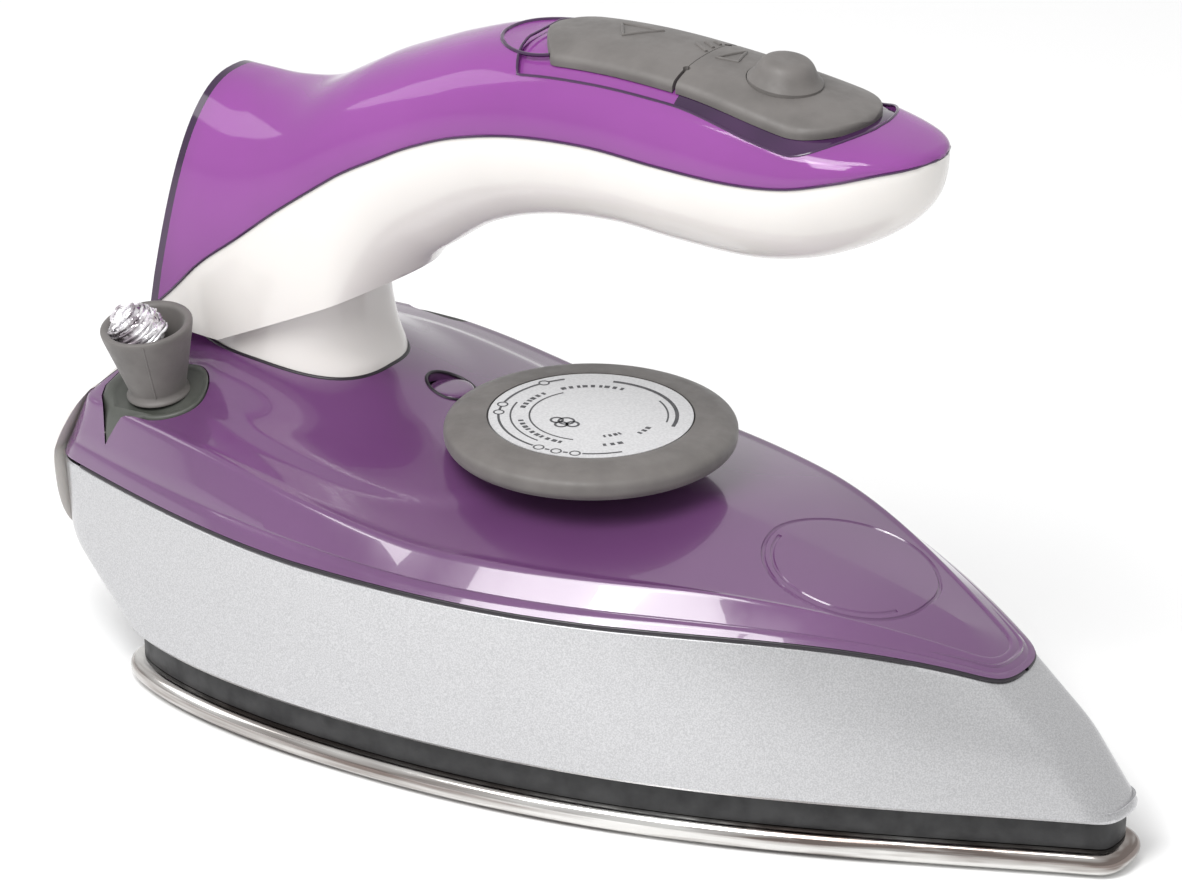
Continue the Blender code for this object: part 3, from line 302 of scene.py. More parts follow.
def make_materials():
    return {
        "chrome": make_chrome(),
        "tank": make_tank_plastic(),
        "foil": make_foil(),
        "silver": surface(
            "silver_paint", (0.50, 0.50, 0.51), 0.30, 0.85,
            (4200.0, 1.0, (0.44, 0.44, 0.45), (0.56, 0.56, 0.57), 0.36, 0.64), (60.0, 3.0, 0.28, 0.34),
            (3800.0, 1.0, 0.06, 0.00008), Coat_Weight=0.15, Coat_Roughness=0.2),
        "cover": surface(
            "purple_cover", (0.120, 0.046, 0.132), 0.18, 0.0,
            (18.0, 2.0, (0.104, 0.038, 0.116), (0.134, 0.054, 0.148)), (300.0, 3.0, 0.14, 0.20),
            (120.0, 2.0, 0.015, 0.0004), Coat_Weight=0.8, Coat_Roughness=0.02, Subsurface_Weight=0.10,
            Subsurface_Radius=(0.004, 0.002, 0.004), Subsurface_Scale=1.0),
        "cream": surface(
            "cream_plastic", (0.66, 0.635, 0.61), 0.20, 0.0,
            (35.0, 2.0, (0.64, 0.615, 0.59), (0.68, 0.655, 0.63)), (420.0, 3.0, 0.16, 0.24),
            (180.0, 2.0, 0.015, 0.0004), Coat_Weight=0.3, Coat_Roughness=0.08, Subsurface_Weight=0.05,
            Subsurface_Radius=(0.003, 0.0025, 0.002), Subsurface_Scale=1.0),
        # dark purple of the tank's rear rim and its fine lines; it also paints shade on the sheet in the
        # button recess
        "rim": surface(
            "purple_rim_and_painted_shade", (0.030, 0.008, 0.040), 0.10, 0.0,
            (60.0, 2.0, (0.024, 0.006, 0.034), (0.045, 0.012, 0.058)), Coat_Weight=0.3,
            Coat_Roughness=0.05),
        "grey": surface(
            "grey_silicone", (0.120, 0.111, 0.105), 0.55, 0.0,
            (150.0, 4.0, (0.106, 0.098, 0.093), (0.134, 0.124, 0.118)), (500.0, 3.0, 0.48, 0.62),
            (2600.0, 2.0, 0.18, 0.00008), Sheen_Weight=0.10, Sheen_Roughness=0.4),
        "rubber": surface(
            "dark_rubber", (0.045, 0.045, 0.042), 0.5, 0.0,
            (200.0, 3.0, (0.035, 0.036, 0.033), (0.058, 0.058, 0.054)), None,
            (2000.0, 2.0, 0.15, 0.00008)),
        "entry": surface(
            "entry_rubber", (0.060, 0.064, 0.056), 0.45, 0.0,
            (160.0, 3.0, (0.050, 0.054, 0.046), (0.072, 0.076, 0.067)), None,
            (1800.0, 2.0, 0.12, 0.00008)),
        "line": surface(
            "seam_line", (0.012, 0.008, 0.014), 0.35, gloss=(500.0, 3.0, 0.3, 0.45)),
        "black": surface(
            "black_phenolic", (0.016, 0.016, 0.017), 0.45, 0.0,
            (240.0, 4.0, (0.011, 0.011, 0.012), (0.026, 0.026, 0.027)), (300.0, 3.0, 0.35, 0.6),
            (1300.0, 3.0, 0.2, 0.0001)),
        "label": surface(
            "dial_face", (0.60, 0.60, 0.61), 0.30, 0.35,
            (2400.0, 2.0, (0.55, 0.55, 0.56), (0.64, 0.64, 0.65)), None, (1500.0, 2.0, 0.05, 0.00005),
            Coat_Weight=0.3, Coat_Roughness=0.1),
        "ink": surface(
            "dial_print", (0.045, 0.045, 0.05), 0.5, 0.0,
            (900.0, 2.0, (0.035, 0.035, 0.04), (0.065, 0.065, 0.07))),
        "lens": surface(
            "lamp_lens", (0.24, 0.10, 0.27), 0.08, 0.0,
            (300.0, 2.0, (0.22, 0.09, 0.25), (0.28, 0.12, 0.31)), Coat_Weight=0.6, Coat_Roughness=0.03,
            Transmission_Weight=0.25),
        "steel": surface(
            "zinc_steel", (0.52, 0.51, 0.49), 0.35, 1.0,
            (300.0, 3.0, (0.44, 0.43, 0.41), (0.60, 0.59, 0.57)), (700.0, 3.0, 0.26, 0.45)),
        "brass": surface(
            "brass", (0.60, 0.42, 0.17), 0.32, 1.0, (260.0, 3.0, (0.52, 0.35, 0.13), (0.66, 0.48, 0.21)),
            (700.0, 3.0, 0.24, 0.42)),
        "cast": surface(
            "cast_aluminium", (0.50, 0.50, 0.50), 0.5, 1.0,
            (500.0, 4.0, (0.40, 0.40, 0.40), (0.58, 0.58, 0.58)), None, (900.0, 4.0, 0.4, 0.0003)),
        "ceramic": surface(
            "ceramic", (0.74, 0.72, 0.67), 0.5, 0.0,
            (400.0, 4.0, (0.68, 0.66, 0.61), (0.78, 0.76, 0.71)), None, (1400.0, 3.0, 0.2, 0.0001)),
        "nylon": surface(
            "white_nylon", (0.76, 0.76, 0.73), 0.42, 0.0,
            (200.0, 3.0, (0.72, 0.72, 0.69), (0.79, 0.79, 0.76)), None, (1500.0, 2.0, 0.1, 0.0001))}


# --- mesh helpers -------------------------------------------------------------------------
def ease(t):
    """Smooth step from 0 to 1."""
    t = min(max(t, 0.0), 1.0)
    return t * t * (3.0 - 2.0 * t)


def bezier(p0, p1, p2, p3, steps):
    points = []
    for i in range(steps):
        t = i / steps
        k = (1 - t) ** 3, 3 * (1 - t) ** 2 * t, 3 * (1 - t) * t * t, t ** 3
        points.append(tuple(sum(w * p[a] for w, p in zip(k, (p0, p1, p2, p3))) for a in (0, 1)))
    return points


def ellipse(centre, half_x, half_y, count=96, power=2.0):
    points = []
    for i in range(count):
        angle = 2 * math.pi * i / count
        c, s = math.cos(angle), math.sin(angle)
        points.append((centre[0] + half_x * math.copysign(abs(c) ** (2 / power), c),
                       centre[1] + half_y * math.copysign(abs(s) ** (2 / power), s)))
    return points


def finish_mesh(bm, name, weld=0.0, orient=True, hidden=False):
    """Linked object with what the bmesh holds."""
    if weld:
        bmesh.ops.remove_doubles(bm, verts=bm.verts, dist=weld * MM)
    if orient:
        bmesh.ops.recalc_face_normals(bm, faces=bm.faces)
    mesh = bpy.data.meshes.new(name)
    bm.to_mesh(mesh)
    bm.free()
    return link_object(name, mesh, hidden)


def bridge(bm, first, second):
    """Quads between two closed rings of vertices."""
    for i in range(len(first)):
        j = (i + 1) % len(first)
        bm.faces.new((first[i], first[j], second[j], second[i]))


def lay_rings(bm, rows):
    rings = [[bm.verts.new((x * MM, y * MM, z * MM)) for x, y, z in row] for row in rows]
    for first, second in zip(rings, rings[1:]):
        bridge(bm, first, second)
    return rings


def loft(name, rows, caps=False, weld=0.0, hidden=False):
    """Surface through closed rows of equally many points; caps closes its two ends."""
    bm = bmesh.new()
    rings = lay_rings(bm, rows)
    if caps:
        bm.faces.new(list(reversed(rings[0])))
        bm.faces.new(rings[-1])
    return finish_mesh(bm, name, weld, hidden=hidden)


def prism(name, outline, bottom, top):
    """Hidden upright cutter."""
    return loft(name, [[(x, y, z) for x, y in outline] for z in (bottom, top)], caps=True, hidden=True)


def side_prism(name, outline, half_width):
    """Hidden cutter with its outline in X and Z."""
    return loft(name, [[(x, y, z) for x, z in outline] for y in (-half_width, half_width)], caps=True,
                hidden=True)


def rod(name, start, end, radius, sides=40):
    """Hidden round cutter."""
    start, end = Vector(start), Vector(end)
    along = (end - start).normalized()
    side = along.orthogonal().normalized()
    other = along.cross(side)
    rows = []
    for middle in (start, end):
        rows.append([tuple(middle + radius * (side * math.cos(a) + other * math.sin(a)))
                     for a in (2 * math.pi * i / sides for i in range(sides))])
    return loft(name, rows, caps=True, hidden=True)


def drill(name, x, y, radius, bottom, top):
    """Hidden upright round cutter."""
    return rod(name, (x, y, bottom), (x, y, top), radius)


def carve(obj, tool, operation="DIFFERENCE", solver="EXACT"):
    """Boolean that is applied at once; the tool goes away."""
    modifier = obj.modifiers.new("carve", "BOOLEAN")
    modifier.operation = operation
    modifier.object = tool
    modifier.solver = solver
    bake(obj)
    bpy.data.objects.remove(tool)


def bake(obj):
    """Replace the object's mesh by what its modifiers make of it."""
    bpy.context.view_layer.update()
    graph = bpy.context.evaluated_depsgraph_get()
    mesh = bpy.data.meshes.new_from_object(obj.evaluated_get(graph))
    obj.modifiers.clear()
    obj.data = mesh


def place(obj, material, body, nodes=(), sharp=32.0):
    """Finish a piece: shading, material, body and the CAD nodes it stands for."""
    mesh = obj.data
    mesh.materials.clear()
    mesh.materials.append(material)
    for polygon in mesh.polygons:
        polygon.use_smooth = True
        polygon.material_index = 0
    mesh.set_sharp_from_angle(angle=math.radians(sharp))
    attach(obj, body)
    if nodes:
        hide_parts(*nodes)
    return obj


def turned(name, profile, centre, steps=96, tilt=(0.0, 0.0), hidden=False):
    """Solid of revolution about Z; the profile starts and ends on the axis or closes on itself."""
    turn = Matrix.Rotation(math.radians(tilt[0]), 4, "X") @ Matrix.Rotation(math.radians(-tilt[1]), 4, "Y")
    on_axis = profile[0][0] == 0.0
    inner = profile[1:-1] if on_axis else profile
    bm = bmesh.new()
    rings = []
    for radius, z in inner:
        ring = []
        for i in range(steps):
            angle = 2 * math.pi * i / steps
            point = turn @ Vector((radius * math.cos(angle), radius * math.sin(angle), z)) + Vector(centre)
            ring.append(bm.verts.new(point * MM))
        rings.append(ring)
    pairs = list(zip(rings, rings[1:]))
    if not on_axis:
        pairs.append((rings[-1], rings[0]))
    for first, second in pairs:
        bridge(bm, first, second)
    if on_axis:
        for ring, z in ((rings[0], profile[0][1]), (rings[-1], profile[-1][1])):
            tip = bm.verts.new((turn @ Vector((0, 0, z)) + Vector(centre)) * MM)
            for i in range(steps):
                bm.faces.new((ring[i], ring[(i + 1) % steps], tip))
    return finish_mesh(bm, name, hidden=hidden)


def rounded(profile, radius, steps=4, skip=()):
    """Round the inner corners of a profile of (r, z) points with arcs of about that radius."""
    made = [profile[0]]
    for i in range(1, len(profile) - 1):
        before, point, after = (Vector(profile[k]) for k in (i - 1, i, i + 1))
        if i in skip:
            made.append(tuple(point))
            continue
        reach_a = min(radius, (before - point).length * 0.49)
        reach_b = min(radius, (after - point).length * 0.49)
        start = point + (before - point).normalized() * reach_a
        end = point + (after - point).normalized() * reach_b
        for k in range(steps + 1):
            t = k / steps
            made.append(tuple(start * (1 - t) ** 2 + point * 2 * t * (1 - t) + end * t * t))
    made.append(profile[-1])
    return made


def bead(name, points, radius, closed=True, sides=3):
    """Round cord-like bead along points."""
    curve = bpy.data.curves.new(name, "CURVE")
    curve.dimensions = "3D"
    curve.bevel_depth = radius * MM
    curve.bevel_resolution = sides
    curve.use_fill_caps = not closed
    spline = curve.splines.new("POLY")
    spline.points.add(len(points) - 1)
    for target, (x, y, z) in zip(spline.points, points):
        target.co = (x * MM, y * MM, z * MM, 1.0)
    spline.use_cyclic_u = closed
    obj = link_object(name, curve)
    bpy.context.view_layer.update()
    mesh = bpy.data.meshes.new_from_object(obj.evaluated_get(bpy.context.evaluated_depsgraph_get()))
    bpy.data.objects.remove(obj)
    bm = bmesh.new()
    bm.from_mesh(mesh)
    bpy.data.meshes.remove(mesh)
    return finish_mesh(bm, name, weld=0.0001, orient=False)


# --- body surface -------------------------------------------------------------------------
def plan_half(plan, inset=0.0):
    """Right half of an outline, from the nose to the heel, y <= 0, moved in by inset."""
    shoulder, widest, tail = plan["shoulder"], plan["widest"], plan["tail"]
    reach_w, reach_s, reach_r, reach_t = plan["handles"]
    slope, rear = (math.radians(a) for a in plan["angles"])
    nose, heel = plan["nose"], plan["heel"]
    corner = (heel + 1.2, tail[1] - 8.0)
    curves = (
        ((nose, 0.0), (nose, shoulder[1] * 0.62),
         (shoulder[0] + 3.4 * math.cos(slope), shoulder[1] - 3.4 * math.sin(slope)), shoulder),
        (shoulder, (shoulder[0] - reach_s * math.cos(slope), shoulder[1] + reach_s * math.sin(slope)),
         (widest[0] + reach_w, widest[1]), widest),
        (widest, (widest[0] - reach_r, widest[1]),
         (tail[0] + reach_t * math.cos(rear), tail[1] + reach_t * math.sin(rear)), tail),
        (tail, (tail[0] - 3.8 * math.cos(rear), tail[1] - 3.8 * math.sin(rear)),
         (corner[0] - 0.3, corner[1] + 4.0), corner),
        (corner, (heel + 0.4, corner[1] * 0.66), (heel, corner[1] * 0.33), (heel, 0.0)))
    points = []
    for curve, steps in zip(curves, PLAN_STEPS):
        points += bezier(*curve, steps)
    points.append((heel, 0.0))
    if inset:
        moved = []
        last = len(points) - 1
        for i, (x, y) in enumerate(points):
            before = points[i - 1] if i else (points[1][0], -points[1][1])
            after = points[i + 1] if i < last else (points[last - 1][0], -points[last - 1][1])
            along = Vector((after[0] - before[0], after[1] - before[1])).normalized()
            moved.append((x - along.y * inset, max(y + along.x * inset, 0.0)))
        points = moved
    return [(x, -y) for x, y in points]


def parting_height(x):
    """Height of the joint line between skirt and cover."""
    return PARTING_Z - 6.5 * (max(x - 20.0, 0.0) / 60.0) ** 3


def crease_height(x):
    """Height of the crease between the slanted band and the top."""
    return parting_height(x) + 1.2 + 5.0 * ease((85.0 - x) / 60.0) + 7.0 * ease((-10.0 - x) / 62.0)


def cover_height(x, y, share):
    power = 1.7 - 0.4 * ease((x + 30.0) / 40.0)
    crown = (1.2 + 4.6 * ease((45.0 - x) / 50.0)) * (1.0 - (1.0 - share) ** power)
    reach = math.hypot((x - PEDESTAL_X) / (PEDESTAL_HALF[0] + 2.0), y / (PEDESTAL_HALF[1] + 2.0))
    return crease_height(x) + crown + 2.4 * ease(1.9 - reach)


def cover_relief(x, y):
    """The cover stands half a millimetre lower outside a soft oval step round the pedestal and dial."""
    reach = (abs((x + 42.0) / 36.5) ** 2.4 + abs(y / 29.5) ** 2.4) ** (1 / 2.4)
    return -0.5 * ease((reach - 0.94) / 0.10)


def ring_of(half):
    """Closed row from a right half row whose ends lie on the middle line."""
    return half + [(p[0], -p[1], p[2]) for p in reversed(half[1:-1])]


def level(plan, height, inset=0.0):
    return [(x, y, height(x) if callable(height) else height) for x, y in plan_half(plan, inset)]


def mix(first, second, share):
    """Row that lies share of the way between two rows."""
    return [tuple(a + (b - a) * share for a, b in zip(p, q)) for p, q in zip(first, second)]


def crown_row(crease, share, drop=0.0):
    """Row of the top surface, share of the way from the crease to the middle line."""
    row = []
    for x, y, _ in crease:
        inner_x = x if x < 40.0 else x - (x - 40.0) * 0.25 * share
        inner_x = inner_x if inner_x > -80.0 else inner_x + (-80.0 - inner_x) * 0.2 * share
        inner_y = y * (1.0 - share)
        relief = 0.0 if drop else cover_relief(inner_x, inner_y) * ease(share / 0.04)
        row.append((inner_x, inner_y, cover_height(inner_x, inner_y, share) + relief - drop))
    return row


def skin(bm, rows):
    """Lay half rows as rings; returns the first ring."""
    return lay_rings(bm, [ring_of(row) for row in rows])[0]


def double_skin(name, outer, inner):
    """Closed wall between two skins, each listed from its lip up to the middle line."""
    bm = bmesh.new()
    bridge(bm, skin(bm, outer), skin(bm, inner))
    return finish_mesh(bm, name, weld=0.004)


def solid_skin(name, rows):
    """Closed body under one skin, with a flat bottom."""
    bm = bmesh.new()
    bm.faces.new(skin(bm, rows))
    return finish_mesh(bm, name, weld=0.004)


def curve_rows(start, middle, end, shares):
    """Rows on the curve from start to end that middle pulls toward itself."""
    return [[tuple((1 - t) ** 2 * a + 2 * t * (1 - t) * b + t * t * c for a, b, c in zip(p, q, r))
             for p, q, r in zip(start, middle, end)] for t in shares]


def crown_inside(count=14):
    """Inner skin of the crown, from just inside the crease to the middle line."""
    crease = level(CREASE_PLAN, lambda x: crease_height(x) - 1.9, 2.1)
    return [crease] + [crown_row(crease, 0.1 + 0.9 * i / count, WALL) for i in range(1, count + 1)]


def band_rows(edge, crease):
    """Slanted band from the parting edge to the crease, with a fine groove low on it."""
    rows = []
    for share, sink in ((0.0, 0.0), (0.12, 0.0), (0.22, 0.0), (0.25, 0.16), (0.29, 0.2), (0.32, 0.0),
                        (0.5, 0.0),
                        (0.7, 0.0), (0.84, 0.0), (0.92, 0.0)):
        rows.append([(x, y * (1.0 - sink / 40.0), z - sink * 0.5) for x, y, z in mix(edge, crease, share)])
    return rows + curve_rows(rows[-1], crease, crown_row(crease, 0.035), (0.33, 0.67, 1.0))


def cover_rows():
    """Outer skin of the top cover, from the joint line to the middle line."""
    edge = level(PARTING_PLAN, lambda x: parting_height(x) + PARTING_GAP)
    crease = level(CREASE_PLAN, crease_height)
    return band_rows(edge, crease) + [crown_row(crease, 0.035 + 0.965 * i / 36) for i in range(1, 37)]


def surface_tree(rows):
    """Search tree of a skin, for heights on it."""
    rings = [ring_of(row) for row in rows]
    count = len(rings[0])
    faces = []
    for k in range(len(rings) - 1):
        for i in range(count):
            j = (i + 1) % count
            faces.append((k * count + i, k * count + j, (k + 1) * count + j, (k + 1) * count + i))
    return BVHTree.FromPolygons([Vector(point) for ring in rings for point in ring], faces)


COVER_TREE = surface_tree(cover_rows())


def top_surface_z(x, y):
    """Height of the uncut cover."""
    hit = COVER_TREE.ray_cast(Vector((x, y, 100.0)), Vector((0.0, 0.0, -1.0)))[0]
    return hit.z if hit else PARTING_Z


def rear_split_cutter(shift):
    """Hidden cutter of all that lies behind the joint."""
    line = [(x + shift, z) for x, z in REAR_SPLIT]
    line[0] = (line[0][0], line[0][1] - shift)
    return side_prism("rear_split", line + [(-130.0, 75.0), (-130.0, line[0][1])], 60.0)


def entry_outline(margin=0.0):
    """Outline of the plate under the cord guard."""
    radius = ENTRY_RADIUS + margin
    back = ENTRY_BACK - margin
    round_end = [(GUARD[0] + 1.8 + radius * math.cos(angle), GUARD[1] + radius * math.sin(angle))
                 for angle in (math.radians(-90.0 + 5.0 * i) for i in range(37))]
    corner = [(back, GUARD[1] - 1.0), (back + 1.2, GUARD[1] - radius + 3.6),
              (back + 4.4, GUARD[1] - radius)]
    return corner + round_end + [(back, GUARD[1] + radius)]


def make_soleplate(mats):
    """Flat sole with a rounded rim and steam holes."""
    rim = SOLE_TOP / 2
    profile = [(4.0, 0.0)]
    for i in range(13):
        angle = math.radians(-90.0 + 15.0 * i)
        profile.append((rim - rim * math.cos(angle), rim + rim * math.sin(angle)))
    profile.append((4.0, SOLE_TOP))
    sole = loft("visual_soleplate", [ring_of(level(SOLE_PLAN, z, inset)) for inset, z in profile],
                caps=True)
    hole = [(0.0, -2.0), (3.9, -2.0), (1.4, 0.5), (1.4, 7.0), (0.0, 7.0)]
    for i in range(9):
        row, side = divmod(i, 2)
        y = (4.0 + 3.2 * row) * (1 if side else -1) if i < 8 else 0.0
        carve(sole, turned("steam_hole", hole, (72.0 - 17.0 * row, y, 0.0), 24, hidden=True))
    place(sole, mats["chrome"], "base", ["soleplate"], 30.0)


def make_apron(mats):
    """Black apron that fills the step between soleplate and skirt."""
    bottom, bend, top = APRON
    rows = [level(SOLE_PLAN, bottom, 2.5), level(SOLE_PLAN, bend, 2.5), level(SOLE_PLAN, top, 3.1),
            level(SHIELD_EDGE, top), level(SHIELD_EDGE, bottom)]
    apron = loft("heat_shield_apron", [ring_of(row) for row in rows + rows[:1]], weld=0.001)
    place(apron, mats["black"], "base", (), 30.0)


def make_skirt(mats):
    bottom = level(SKIRT_PLAN, SKIRT_BOTTOM)
    waist = level(WAIST_PLAN, OVERHANG_Z)
    top = level(PARTING_PLAN, lambda x: parting_height(x) - PARTING_GAP)
    rows = [level(SKIRT_PLAN, SKIRT_BOTTOM + 0.25, 1.5), level(SKIRT_PLAN, SKIRT_BOTTOM, 1.0),
            level(SKIRT_PLAN, SKIRT_BOTTOM + 0.05, 0.4)]
    rows += [mix(bottom, waist, share) for share in (0.05, 0.15, 0.3, 0.45, 0.6, 0.75)]
    rows += curve_rows(mix(bottom, waist, 0.8), waist, mix(waist, top, 0.2), (0.2, 0.4, 0.6, 0.8, 1.0))
    rows += [mix(waist, top, share) for share in (0.35, 0.5, 0.65, 0.8, 0.92, 0.985)]
    rows.append(level(PARTING_PLAN, lambda x: parting_height(x) - PARTING_GAP + 0.05, 0.3))
    skirt = loft("visual_lower_housing", [ring_of(row) for row in rows])
    wall = skirt.modifiers.new("wall", "SOLIDIFY")
    wall.thickness = WALL * MM
    wall.offset = -1.0
    wall.use_even_offset = False
    bake(skirt)
    carve(skirt, rear_split_cutter(0.0))
    place(skirt, mats["silver"], "base", ["lower_housing"], 34.0)


def mark_groove(radius, depth, start, end):
    """Cutter of a round groove in the cover; angles in degrees."""
    closed = end - start == 360
    circle = []
    for i in range(72):
        angle = math.radians(start + (end - start) * i / (72 if closed else 71))
        x, y = MARK[0] + radius * math.cos(angle), MARK[1] + radius * math.sin(angle)
        circle.append((x, y, top_surface_z(x, y) + GROOVE_RADIUS - depth))
    return bead("groove", circle, GROOVE_RADIUS, closed=closed)


def make_top_cover(mats):
    def lip(lift):
        return lambda x: parting_height(x) + PARTING_GAP + lift

    rows = [level(PARTING_PLAN, lip(-0.05), 0.3)] + cover_rows()
    inner = [level(PARTING_PLAN, lip(-0.05), 1.8), level(PARTING_PLAN, lip(1.0), 2.1)] + crown_inside()
    cover = double_skin("visual_top_cover", rows, inner)
    carve(cover, rear_split_cutter(0.0))
    carve(cover, drill("spindle", DIAL_X, 0, 3.4, 30, 60))
    carve(cover, drill("lamp", LAMP[0], LAMP[1], LAMP[2] + 0.15, 30, 60))
    foot = ellipse((FOOT[0], 0.0), FOOT[1] + 0.2, FOOT[2] + 0.2, 96, 2.5)
    carve(cover, prism("pedestal", foot, 30.0, 70.0))
    carve(cover, mark_groove(MARK[2], 0.34, 0, 360))
    carve(cover, mark_groove(MARK[2] - 1.5, 0.22, 185, 335))
    carve(cover, prism("entry", entry_outline(0.2), 30.0, 70.0))
    x, half, low, _ = RELEASE
    carve(cover, prism("release", ellipse((x, 40.0), half, 6.6, 48, 3.0), low - 2.6, 54.0))
    place(cover, mats["cover"], "base", ["top_cover"], 34.0)


def make_gasket(mats):
    """Dark sealing bead in the joint line."""
    half_line = [(x, y, z - 0.05) for x, y, z in level(PARTING_PLAN, parting_height, 0.25) if x > -89.8]
    loop = half_line + [(x, -y, z) for x, y, z in reversed(half_line[1:])]
    seal = bead("visual_cover_gasket", loop, 0.42, closed=False)
    place(seal, mats["line"], "base", ["cover_gasket"], 60.0)


def make_rear_cover(mats):
    """White rear cover: a solid cut to its outline, then hollowed."""
    low = level(WAIST_PLAN, OVERHANG_Z)
    bulge = level(BULGE_PLAN, 35.0)
    crease = level(CREASE_PLAN, crease_height)
    rows = []
    for i in range(13):
        t = i / 12
        push = 1.0 * math.sin(math.pi * t)
        rows.append([(x - push * ease((-90.0 - x) / 5.0), y, z) for x, y, z in mix(low, bulge, t)])
    for i in range(1, 11):
        t = i / 10
        push = 1.8 * math.sin(math.pi * t)
        rows.append([(x - push * ease((-80.0 - x) / 6.0), y * (1.0 + 0.012 * math.sin(math.pi * t)), z)
                     for x, y, z in mix(bulge, crease, t)])
    rows += [crown_row(crease, share) for share in (0.04, 0.1, 0.18, 0.3, 0.45, 0.6, 0.8, 1.0)]
    rear = solid_skin("visual_rear_cover", rows)
    carve(rear, rear_split_cutter(-0.25), "INTERSECT", "MANIFOLD")
    lean = [(HEEL_PLANE[0] + HEEL_PLANE[2] * (z - HEEL_PLANE[1]), z) for z in (0.0, 120.0)]
    hollow = [level(WAIST_PLAN, OVERHANG_Z - 2.0, 1.8), level(BULGE_PLAN, 35.0, 1.9)] + crown_inside(8)
    tools = [side_prism("heel_plane", lean + [(-140.0, 120.0), (-140.0, 0.0)], 60.0),
             solid_skin("hollow", hollow),
             prism("rear_entry", entry_outline(0.2), 40.0, 70.0),
             prism("rear_pedestal", ellipse((PEDESTAL_X, 0.0), 18.2, 15.5, 96, 2.5), 40.0, 70.0)]
    y, z, radius = REAR_SCREW
    for side in (1, -1):
        tools.append(rod("screw_hole", (-120.0, side * y, z), (-80.0, side * y, z), radius))
    for tool in tools:
        carve(rear, tool, solver="MANIFOLD")
    place(rear, mats["cream"], "base", ["rear_cover"], 30.0)


# --- dial, lamp, pedestal, cord entry, release --------------------------------------------
def arc_strip(name, radius, start, end, width, z, centre, segments=None):
    """Flat raised strip along an arc; angles in degrees."""
    count = segments or max(6, int(abs(end - start) / 3))
    rows = []
    for i in range(count + 1):
        angle = math.radians(start + (end - start) * i / count)
        c, s = math.cos(angle), math.sin(angle)
        inner, outer = radius - width / 2, radius + width / 2
        rows.append([(centre[0] + inner * c, centre[1] + inner * s, z),
                     (centre[0] + outer * c, centre[1] + outer * s, z),
                     (centre[0] + outer * c, centre[1] + outer * s, z + 0.05),
                     (centre[0] + inner * c, centre[1] + inner * s, z + 0.05)])
    return loft(name, rows, caps=True)


def join(objects, name):
    """One mesh out of several."""
    bm = bmesh.new()
    for obj in objects:
        bm.from_mesh(obj.data)
        bpy.data.objects.remove(obj)
    return finish_mesh(bm, name, orient=False)


def make_dial(mats):
    rim = DIAL_RADIUS
    profile = [(0.0, DIAL_TOP - 1.0), (LABEL_RADIUS + 0.25, DIAL_TOP - 1.0),
               (LABEL_RADIUS + 0.25, DIAL_TOP + 0.05),
               (LABEL_RADIUS + 1.0, DIAL_TOP + 0.1), (rim - 2.6, DIAL_TOP - 0.2), (rim, DIAL_TOP - 1.5),
               (rim, DIAL_BOTTOM + 1.1), (rim - 1.6, DIAL_BOTTOM), (0.0, DIAL_BOTTOM)]
    profile = rounded(profile, 0.9, 5, skip=(1, 2))
    dial = turned("visual_temperature_dial", profile, (DIAL_X, 0, 0), 144)
    place(dial, mats["grey"], "dial", ["temperature_dial"], 40.0)

    face = [(0.0, DIAL_TOP + 0.10), (LABEL_RADIUS - 0.4, DIAL_TOP + 0.10), (LABEL_RADIUS - 0.05, DIAL_TOP),
            (LABEL_RADIUS - 0.05, DIAL_TOP - 0.9), (0.0, DIAL_TOP - 0.9)]
    label = turned("visual_dial_label", face, (DIAL_X, 0, 0), 144)
    place(label, mats["label"], "dial", ["dial_label"], 30.0)

    z = DIAL_TOP + 0.08
    centre = (DIAL_X + 0.2, -0.2)
    marks = []

    def strip(radius, start, end, width):
        marks.append(arc_strip("mark", radius, start, end, width, z, centre))

    def dot(radius, angle, size, width=0.28):
        x = centre[0] + radius * math.cos(math.radians(angle))
        y = centre[1] + radius * math.sin(math.radians(angle))
        marks.append(arc_strip("mark", size, 0.0, 360.0, width, z, (x, y), 20))

    outer = 15.6
    for start, end in ((140.0, 150.5), (157.5, 193.0), (199.5, 205.0), (211.5, 264.5), (273.5, 276.5),
                       (285.5, 288.5),
                       (297.5, 322.0)):
        strip(outer, start, end, 0.42)
    for angle in (154.0, 196.3, 208.3, 269.0, 281.0, 293.0):
        dot(outer, angle, 0.85)
    strip(14.4, 14.0, 108.0, 0.65)
    strip(12.9, 20.0, 60.0, 0.3)
    strip(10.4, 150.0, 286.0, 0.3)
    strip(13.6, 190.0, 262.0, 0.3)
    for radius, start, end in ((12.0, 96.0, 150.0), (12.0, 164.0, 204.0), (12.0, 222.0, 286.0),
                               (8.8, 316.0, 340.0), (10.8, 350.0, 372.0), (12.2, 312.0, 330.0)):
        count = int((end - start) / 6.0)
        for i in range(count):
            tick = start + 6.0 * i
            strip(radius, tick, tick + 2.6 + 1.6 * ((i * 7) % 3) / 2, 0.9)
    # generic steam mark: a small cloud of three arcs over a base line
    for dx, dy, size in ((-1.6, 0.0, 1.0), (0.0, 0.5, 1.3), (1.6, 0.0, 1.0), (0.0, -1.1, 1.0)):
        marks.append(arc_strip("mark", size, 0.0, 360.0, 0.42, z, (DIAL_X - 2.0 + dx, -5.0 + dy), 24))
    prints = join(marks, "dial_print")
    place(prints, mats["ink"], "dial", (), 30.0)


def make_lamp(mats):
    x, y, radius = LAMP
    z = top_surface_z(x, y)
    profile = [(0.0, z + 0.1), (radius - 1.2, z + 0.02), (radius - 0.35, z - 0.25), (radius - 0.3, z - 1.8),
               (0.0, z - 1.8)]
    lens = turned("visual_pilot_lamp_lens", rounded(profile, 0.6, 5), (x, y, 0), 64)
    place(lens, mats["cover"], "base", ["pilot_lamp_lens"], 35.0)
    ring = [(px, py, top_surface_z(px, py) + 0.02) for px, py in ellipse((x, y), radius, radius, 64)]
    place(bead("lamp_bezel_line", ring, 0.3), mats["line"], "base")


